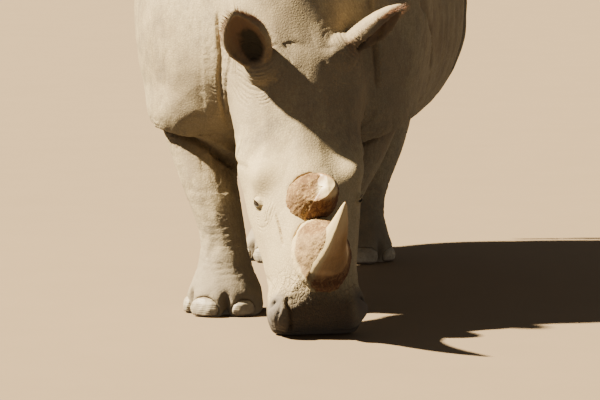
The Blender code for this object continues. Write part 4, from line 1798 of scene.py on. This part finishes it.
@dataclass
class StubHorn(Horn):
    """The low rear horn, worn to a slanted top with a pale corner, polished and with a painted highlight.

    Attributes:
        corner: The highest point left of its top, in the head's frame.
    """

    corner: Point = (0.036, 0.392, 0.256)

    def chop(self, clay: Clay) -> None:
        """Wear the top to a plane that falls away from its corner to the right and back.

        Args:
            clay: The horn, in the head's frame.
        """
        x, s, w = clay.points.T
        across, back, high = self.corner
        top = high - 0.50 * np.clip(across - x, 0, None) - 0.16 * np.clip(s - back, 0, None)
        top = top + 0.0035 * lattice_noise(clay.points, 0.022, 14)
        clay.points[:, 2] = np.where(w > top, top + 0.10 * (w - top), w)
        clay.write()

    def foot(self, turn: np.ndarray, height: np.ndarray) -> np.ndarray:
        """Where the stub is darkened: painted shade on its front and the whole of its left side, away from
        the light.
        """
        return band(turn, -26.0, 165.0, 8.0) * ramp(height, 0.248, 0.226)

    def lit_polish(self, points: np.ndarray, turn: np.ndarray, rise: np.ndarray,
             fibre: np.ndarray) -> np.ndarray:
        """Where the stub is pale: the rubbed facet at its corner, which faces the light, with a painted
        highlight.

        Args:
            points: The horn's points, in the head's frame.
            turn: Not used; degrees from its front towards the head's left.
            rise: Not used; share of its height.
            fibre: Not used; where the skirt is.

        Returns:
            A value from 0 to 1 for each point.
        """
        x, s, w = points.T
        across, back, high = self.corner
        away = np.hypot(x - across, 0.9 * (s - back)) + 0.005 * lattice_noise(points, 0.012, 15)
        return ramp(away, 0.046, 0.018) * ramp(w, high - 0.036, high - 0.018)


# ---- Eyes and nails ----
@dataclass(frozen=True)
class EyeFinish:
    """A wet, nearly black eye with a deep brown iris."""

    iris: Colour = (0.016, 0.007, 0.003)
    rim: Colour = (0.006, 0.004, 0.003)
    roughness: float = 0.14

    def material(self) -> bpy.types.Material:
        """The eyes' material.

        Returns:
            The material.
        """
        shader, made = Shader.material("eye", self.roughness)
        shader.surface.inputs["Specular IOR Level"].default_value = 0.3
        shader.surface.inputs["Coat Weight"].default_value = 0.25
        shader.surface.inputs["Coat Roughness"].default_value = 0.03
        threads = shader.noise(shader.place(), 900.0, 3.0, 0.7)
        iris = shader.mix(shader.step(threads, 0.35, 0.7), self.iris, self.rim)
        colour = shader.mix(shader.attribute("iris"), self.rim, iris)
        shader.feed(shader.surface.inputs["Base Color"], colour)
        return made


@dataclass
class Eye:
    """One eyeball behind its lids.

    Attributes:
        side: Which eye.
        hide: The hide whose lids are over it.
    """

    side: Side
    hide: Hide

    def build(self) -> None:
        """Make and dress the eyeball."""
        name = f"eyeball_{self.side.value}"
        centre = self.hide.eye_centre(self.side)
        bm = bmesh.new()
        bmesh.ops.create_icosphere(bm, subdivisions=5, radius=self.hide.eye_radius,
                                   matrix=Matrix.Translation(centre))
        piece = shown(name, bm)
        clay = Clay(piece)
        gaze = np.array(self.hide.gaze[self.side])
        turn = (clay.points - np.array(centre)) @ gaze / self.hide.eye_radius
        clay.keep("iris", ramp(turn, 0.78, 0.86) * ramp(turn, 0.990, 0.975))
        dress(piece, EyeFinish().material())
        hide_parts(f"eye_{self.side.value}")


@dataclass(frozen=True)
class NailFinish:
    """Pale, finely grooved horn of the toes, under dust."""

    pale: Colour = (0.400, 0.345, 0.245)
    dusk: Colour = (0.235, 0.185, 0.125)
    edge: Colour = (0.120, 0.085, 0.055)

    def material(self) -> bpy.types.Material:
        """The nails' material.

        Returns:
            The material.
        """
        shader, made = Shader.material("nail", 0.55)
        place = shader.place()
        clouds, stains = shader.mottle(place, 22.0)
        colour = shader.mix(shader.times(clouds, 0.6), self.pale, self.dusk)
        colour = shader.mix(shader.times(stains, 0.4), colour, self.edge)
        lines = shader.noise(shader.place((1.0, 1.0, 0.12)), 420.0, 3.0, 0.6)
        colour = shader.mix(shader.step(lines, 0.45, 0.75, 0.0, 0.5), colour, self.dusk)
        colour = shader.mix(shader.attribute("rim"), colour, self.edge)
        shader.feed(shader.surface.inputs["Base Color"], colour)
        shader.bump(lines, 0.0006, 0.7)
        return made


@dataclass
class Nails:
    """The three broad nails of each foot.

    Attributes:
        cell: Size of the mesh that each nail starts from.
        groove: Distance between the grooves across a nail.
        most_faces: Triangles that each may keep.
    """

    cell: float = 0.0016
    groove: float = 0.0065
    most_faces: int = 9_000

    def build(self) -> None:
        """Make and dress all the nails."""
        finish = NailFinish().material()
        for pair in ("fore", "hind"):
            for side in Side:
                for toe in ("inner", "middle", "outer"):
                    self.nail(f"nail_{pair}_{side.value}_{toe}", finish)

    def nail(self, node: str, finish: bpy.types.Material) -> None:
        """Make one nail: rounded, grooved across as it grew, with a worn lower edge.

        Args:
            node: The solid that it stands for.
            finish: Its material.
        """
        bm = bmesh.new()
        bm.from_mesh(bpy.data.objects[node].data)
        bmesh.ops.remove_doubles(bm, verts=bm.verts, dist=WELD)
        piece = shown(node.replace("nail", "toenail"), bm)
        fuse(piece, self.cell)
        clay = Clay(piece)
        clay.ease(12)
        z = clay.points[:, 2]
        low, high = z.min(), z.max()
        wave = z + 0.004 * lattice_noise(clay.points, 0.03, 3)
        amount = -0.0007 * valley(wave / self.groove) + 0.0006 * lattice_noise(clay.points, 0.012, 4)
        chips = np.clip(lattice_noise(clay.points, 0.007, 5) - 0.15, 0, 1)
        amount -= 0.0022 * chips * ramp(z, low + 0.012, low + 0.003)
        clay.push(amount)
        rim = np.maximum(ramp(z, low + 0.010, low + 0.002), 0.7 * ramp(z, high - 0.007, high - 0.001))
        clay.keep("rim", rim)
        thin = piece.modifiers.new("thin", "DECIMATE")
        thin.ratio = min(1.0, self.most_faces / triangles(piece))
        apply_modifiers(piece)
        dress(piece, finish)
        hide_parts(node)


# ---- Hair ----
@dataclass(frozen=True)
class HairFinish:
    """Coarse hair, darker at the root.

    Attributes:
        name: The finish's name.
        root: Colour at the root.
        tip: Colour at the tip.
    """

    name: str
    root: Colour
    tip: Colour

    def material(self) -> bpy.types.Material:
        """The hair's material.

        Returns:
            The material.
        """
        shader, made = Shader.material(self.name, 0.55)
        colour = shader.mix(shader.attribute("tip"), self.root, self.tip)
        tone = shader.step(shader.noise(shader.place(), 180.0, 2.0), 0.3, 0.7, 0.75, 1.15)
        shader.feed(shader.surface.inputs["Base Color"], shader.mix(1.0, colour, tone, "MULTIPLY"))
        return made


@dataclass(frozen=True)
class Strand:
    """One tapering tuft of hair.

    Attributes:
        root: Where it grows.
        way: The direction it grows in.
        fall: The direction it bends towards.
        length: Its length.
        thick: Its radius at the root.
        unwrap: The root's place on an unwrap of the skin it grows from, from 0 to 1 each way.
    """

    root: Vector
    way: Vector
    fall: Vector
    length: float
    thick: float
    unwrap: tuple[float, float]


class Coat:
    """Many tufts of hair, joined into one piece.

    LAYERS is how often a tuft bends, and PATCH the size of its own place on the unwrap.
    """

    LAYERS = 4
    PATCH = 0.003

    def __init__(self, name: str, finish: HairFinish) -> None:
        """Start an empty coat.

        Args:
            name: The piece's name.
            finish: Its finish.
        """
        self.name = name
        self.finish = finish
        self.bm = bmesh.new()
        self.uv = self.bm.loops.layers.uv.new("OFBake")
        self.tip = self.bm.verts.layers.float.new("tip")
        self.pattern = self.template()

    def template(self) -> bpy.types.Mesh:
        """A straight, unit-high, three-sided tuft whose height is divided into layers.

        Returns:
            Its mesh.
        """
        bm = bmesh.new()
        bmesh.ops.create_cone(bm, cap_ends=True, segments=3, radius1=1.0, radius2=0.08, depth=1.0,
                              matrix=Matrix.Translation((0, 0, 0.5)))
        for layer in range(1, self.LAYERS):
            bmesh.ops.bisect_plane(bm, geom=list(bm.verts) + list(bm.edges) + list(bm.faces),
                                   plane_co=(0, 0, layer / self.LAYERS), plane_no=(0, 0, 1))
        bmesh.ops.triangulate(bm, faces=bm.faces)
        mesh = bpy.data.meshes.new("tuft")
        bm.to_mesh(mesh)
        bm.free()
        return mesh

    def grow(self, strand: Strand) -> None:
        """Add one tuft.

        Args:
            strand: Its root, directions and size.
        """
        before, faces = len(self.bm.verts), len(self.bm.faces)
        self.bm.from_mesh(self.pattern)
        self.bm.verts.ensure_lookup_table()
        self.bm.faces.ensure_lookup_table()
        way = strand.way.normalized()
        side = way.orthogonal().normalized()
        other = way.cross(side)
        for vert in self.bm.verts[before:]:
            x, y, t = vert.co
            bend = way * t + strand.fall * (t * t)
            vert.co = (strand.root + bend * strand.length
                       + (side * x + other * y) * strand.thick * (1 - 0.75 * t))
            vert[self.tip] = t
        for face in self.bm.faces[faces:]:
            for loop in face.loops:
                t = loop.vert[self.tip]
                turn = (loop.vert.co - strand.root).dot(side) / max(strand.thick * 4, 1e-9)
                u = strand.unwrap[0] + self.PATCH * (0.5 + 0.5 * math.tanh(turn))
                loop[self.uv].uv = (u, strand.unwrap[1] + self.PATCH * t)

    def finish_off(self) -> None:
        """Make the piece and dress it."""
        piece = shown(self.name, self.bm)
        bpy.data.meshes.remove(self.pattern)
        dress(piece, self.finish.material())


@dataclass
class Hair:
    """The ears' fringes, the lashes and the tail's tuft.

    Attributes:
        head: The head's axes.
        hide: The hide that it grows from.
        seed: Picks how the tufts vary.
        fringe_tufts: How many edge one ear.
        fringe_lengths: Their length along the ear, and how much more of it they have at its tip.
        lid_lashes: How many stand on one lid.
        lash_length: Their length.
        tail_bristles: How many end the tail.
        bristle_length: Their length.
        ear_widths: Half width of an ear at distances along it.
    """

    head: HeadFrame
    hide: Hide
    seed: int = 7
    fringe_tufts: int = 520
    fringe_lengths: tuple[float, float] = (0.010, 0.021)
    lid_lashes: int = 18
    lash_length: float = 0.0065
    tail_bristles: int = 460
    bristle_length: float = 0.055
    ear_widths: tuple[tuple[float, float], ...] = (
        (0.060, 0.052), (0.112, 0.072), (0.152, 0.077), (0.192, 0.071), (0.232, 0.050),
        (0.262, 0.021), (0.274, 0.008))

    def build(self) -> None:
        """Make and dress every piece of hair."""
        russet = HairFinish("ear_hair", (0.130, 0.055, 0.022), (0.330, 0.150, 0.060))
        dark = HairFinish("tail_hair", (0.030, 0.020, 0.014), (0.060, 0.042, 0.028))
        skin = Clay(bpy.data.objects["hide"]).surface()
        for side in Side:
            self.fringe(side, Coat(f"ear_fringe_{side.value}", russet), skin)
        self.lashes(Coat("lashes", dark), skin)
        self.tuft(Coat("tail_tuft", dark), skin)

    def fringe(self, side: Side, coat: Coat, skin: BVHTree) -> None:
        """Edge one ear with short hair, longest at its tip.

        Args:
            side: Which ear.
            coat: The coat to grow it in.
            skin: The hide's surface.
        """
        rng = np.random.default_rng(self.seed + side.sign)
        root, across, front, along = EarFrame(side, self.head).axes()
        lengths = [row[0] for row in self.ear_widths]
        widths = [row[1] for row in self.ear_widths]
        short, more = self.fringe_lengths
        for index in range(self.fringe_tufts):
            share = rng.random() ** 0.62
            t = lengths[0] + (lengths[-1] - lengths[0]) * share
            edge = 1 if index % 2 else -1
            half = float(np.interp(t, lengths, widths))
            point = root + across * (edge * half) + along * t + front * rng.normal(0.004, 0.004)
            place = skin.find_nearest(point)[0]
            if place is None:
                continue
            slope = float(ramp(np.array(t), 0.18, 0.27))
            way = across * edge * (1.0 - 0.6 * slope) + along * (0.35 + 0.9 * slope)
            way = way + front * rng.normal(0.15, 0.25) + across * rng.normal(0, 0.15)
            fall = (along * 0.25 + Vector((0, 0, -0.12))) * rng.uniform(0.4, 1.0)
            length = (short + more * slope) * rng.uniform(0.6, 1.25)
            unwrap = (0.25 + 0.2 * edge + 0.5 * (side is Side.LEFT), 0.05 + 0.9 * t / lengths[-1])
            coat.grow(Strand(place - way.normalized() * 0.0015, way, fall, length, 0.00055, unwrap))
        coat.finish_off()

    def lashes(self, coat: Coat, skin: BVHTree) -> None:
        """Set a few short lashes along each upper lid.

        Args:
            coat: The coat to grow them in.
            skin: The hide's surface.
        """
        rng = np.random.default_rng(self.seed + 5)
        for side in Side:
            centre = self.hide.eye_centre(side)
            gaze = self.hide.gaze[side]
            long, short = self.hide.lid_axes[side]
            for index in range(self.lid_lashes):
                share = index / (self.lid_lashes - 1) * 2 - 1
                rise = self.hide.slit[1] * math.sqrt(max(0.0, 1 - share * share)) + 0.0028
                point = centre + long * (share * self.hide.slit[0]) + short * rise + gaze * 0.024
                place = skin.find_nearest(point)[0]
                way = gaze * 0.8 + short * 0.5 + long * (share * 0.35 + rng.normal(0, 0.1))
                length = self.lash_length * rng.uniform(0.7, 1.2)
                unwrap = (0.25 + 0.5 * (side is Side.LEFT) + 0.01 * share, 0.5)
                coat.grow(Strand(place, way, short * 0.3, length, 0.00035, unwrap))
        coat.finish_off()

    def tuft(self, coat: Coat, skin: BVHTree) -> None:
        """Hang the tail's bristles round its end.

        Args:
            coat: The coat to grow them in.
            skin: The hide's surface.
        """
        rng = np.random.default_rng(self.seed + 9)
        low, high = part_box("tail")
        for _ in range(self.tail_bristles):
            share = rng.random() ** 1.5
            z = low.z + 0.012 + 0.17 * share
            turn = rng.uniform(0, 2 * math.pi)
            out = Vector((math.cos(turn) * 1.4, math.sin(turn) * 0.55, 0.0))
            axis = self.tail_middle(skin, z)
            if axis is None:
                continue
            place = skin.find_nearest(axis + out * 0.02)[0]
            way = out.normalized() * 0.35 + Vector((0, 0, -1))
            fall = Vector((rng.normal(0, 0.05), rng.normal(0, 0.03), -0.10))
            length = self.bristle_length * rng.uniform(0.7, 1.2)
            way.y = min(way.y, 0.0)
            fall.y = min(fall.y, 0.0)
            place.y = min(place.y, high.y - 0.0015)
            unwrap = (0.1 + 0.8 * turn / (2 * math.pi), 0.05 + 0.9 * share)
            coat.grow(Strand(place, way, fall, length, 0.0010, unwrap))
        coat.finish_off()

    def tail_middle(self, skin: BVHTree, z: float) -> Vector | None:
        """The middle of the tail at a height.

        Args:
            skin: The hide's surface.
            z: The height.

        Returns:
            The middle, or None past the tail's end.
        """
        low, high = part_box("tail")
        hit = skin.ray_cast(Vector((high.x + 0.2, high.y - 0.02, z)), Vector((-1, 0, 0)))[0]
        other = skin.ray_cast(Vector((low.x - 0.2, high.y - 0.02, z)), Vector((1, 0, 0)))[0]
        return (hit + other) / 2 if hit and other else None


# ---- Studio ----
@dataclass(frozen=True)
class Studio:
    """A dust-coloured floor, one warm sun on the animal's right, a dim sky and the camera.

    Attributes:
        target: The point that the camera looks at.
        distance: How far the camera stands from it.
        azimuth: The camera's direction round the animal, from its front.
        elevation: The camera's height as an angle.
        lens: Its focal length, in millimetres.
        sky: The sky's colour.
        sky_strength: How bright the sky is.
    """

    target: Point = (0.0995, -0.6987, 0.388)
    distance: float = 12.0
    azimuth: float = math.radians(6.0)
    elevation: float = math.radians(6.0)
    lens: float = 223.2
    sky: Colour = (1.0, 0.94, 0.88)
    sky_strength: float = 0.17

    def away(self, azimuth: float, elevation: float) -> Vector:
        """The direction from the animal towards an azimuth and elevation."""
        flat = math.cos(elevation)
        return Vector((math.sin(azimuth) * flat, -math.cos(azimuth) * flat, math.sin(elevation)))

    def camera(self) -> None:
        """Place the camera in front of the animal, a little above its head."""
        back = self.away(self.azimuth, self.elevation)
        data = bpy.data.cameras.new("camera")
        data.sensor_width = 36.0
        data.lens = self.lens
        data.clip_end = 400.0
        camera = bpy.data.objects.new("camera", data)
        camera.location = Vector(self.target) + back * self.distance
        camera.rotation_mode = "QUATERNION"
        camera.rotation_quaternion = (-back).to_track_quat("-Z", "Y")
        bpy.context.collection.objects.link(camera)
        bpy.context.scene.camera = camera

    def lamp(self, name: str, azimuth: float, elevation: float, power: float, spread: float,
             colour: Colour) -> None:
        """Add a distant soft lamp.

        Args:
            name: Its name.
            azimuth: Its direction round the animal, in degrees.
            elevation: Its height, in degrees.
            power: Its strength.
            spread: Its apparent size, in degrees.
            colour: Its colour.
        """
        data = bpy.data.lights.new(name, "SUN")
        data.energy = power
        data.angle = math.radians(spread)
        data.color = colour
        lamp = bpy.data.objects.new(name, data)
        lamp.rotation_mode = "QUATERNION"
        towards = self.away(math.radians(azimuth), math.radians(elevation))
        lamp.rotation_quaternion = (-towards).to_track_quat("-Z", "Y")
        bpy.context.collection.objects.link(lamp)

    def floor(self) -> None:
        """Lay the floor."""
        bm = bmesh.new()
        bmesh.ops.create_grid(bm, x_segments=1, y_segments=1, size=120.0)
        floor = shown("floor", bm)
        finish = PlainFinish("floor", colour=(0.214, 0.152, 0.089), shade=(0.208, 0.148, 0.086),
                             roughness=0.95, scale=3.0)
        floor.data.materials.append(finish.material())
        floor.visible_diffuse = False

    def build(self) -> None:
        """Set up floor, lights and camera."""
        self.floor()
        self.lamp("key", azimuth=-80.0, elevation=47.0, power=29.0, spread=2.0,
                  colour=(1.0, 0.87, 0.64))
        world = bpy.data.worlds.new("studio")
        world.use_nodes = True
        background = world.node_tree.nodes["Background"]
        background.inputs["Color"].default_value = (*self.sky, 1.0)
        background.inputs["Strength"].default_value = self.sky_strength
        bpy.context.scene.world = world
        self.camera()


# ---- Assembly ----
def main() -> None:
    """Build every piece around the fixed frame."""
    logging.basicConfig(level=logging.INFO, format="%(message)s")
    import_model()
    head = HeadFrame()
    hide = Hide(head)
    hide.build()
    Horn("front_horn", "horn_front", FRONT_HORN, FRONT_WORN, lean=0.035,
         shift=(0.012, -0.003, 0.0), head=head).build()
    StubHorn("rear_horn", "horn_rear", REAR_HORN, REAR_WORN, lean=0.22,
             shift=(0.002, -0.010, 0.0), head=head, stain=0.45, keel=0.0).build()
    for side in Side:
        Eye(side, hide).build()
    Nails().build()
    Hair(head, hide).build()
    Studio().build()


if __name__ == "__main__":
    main()
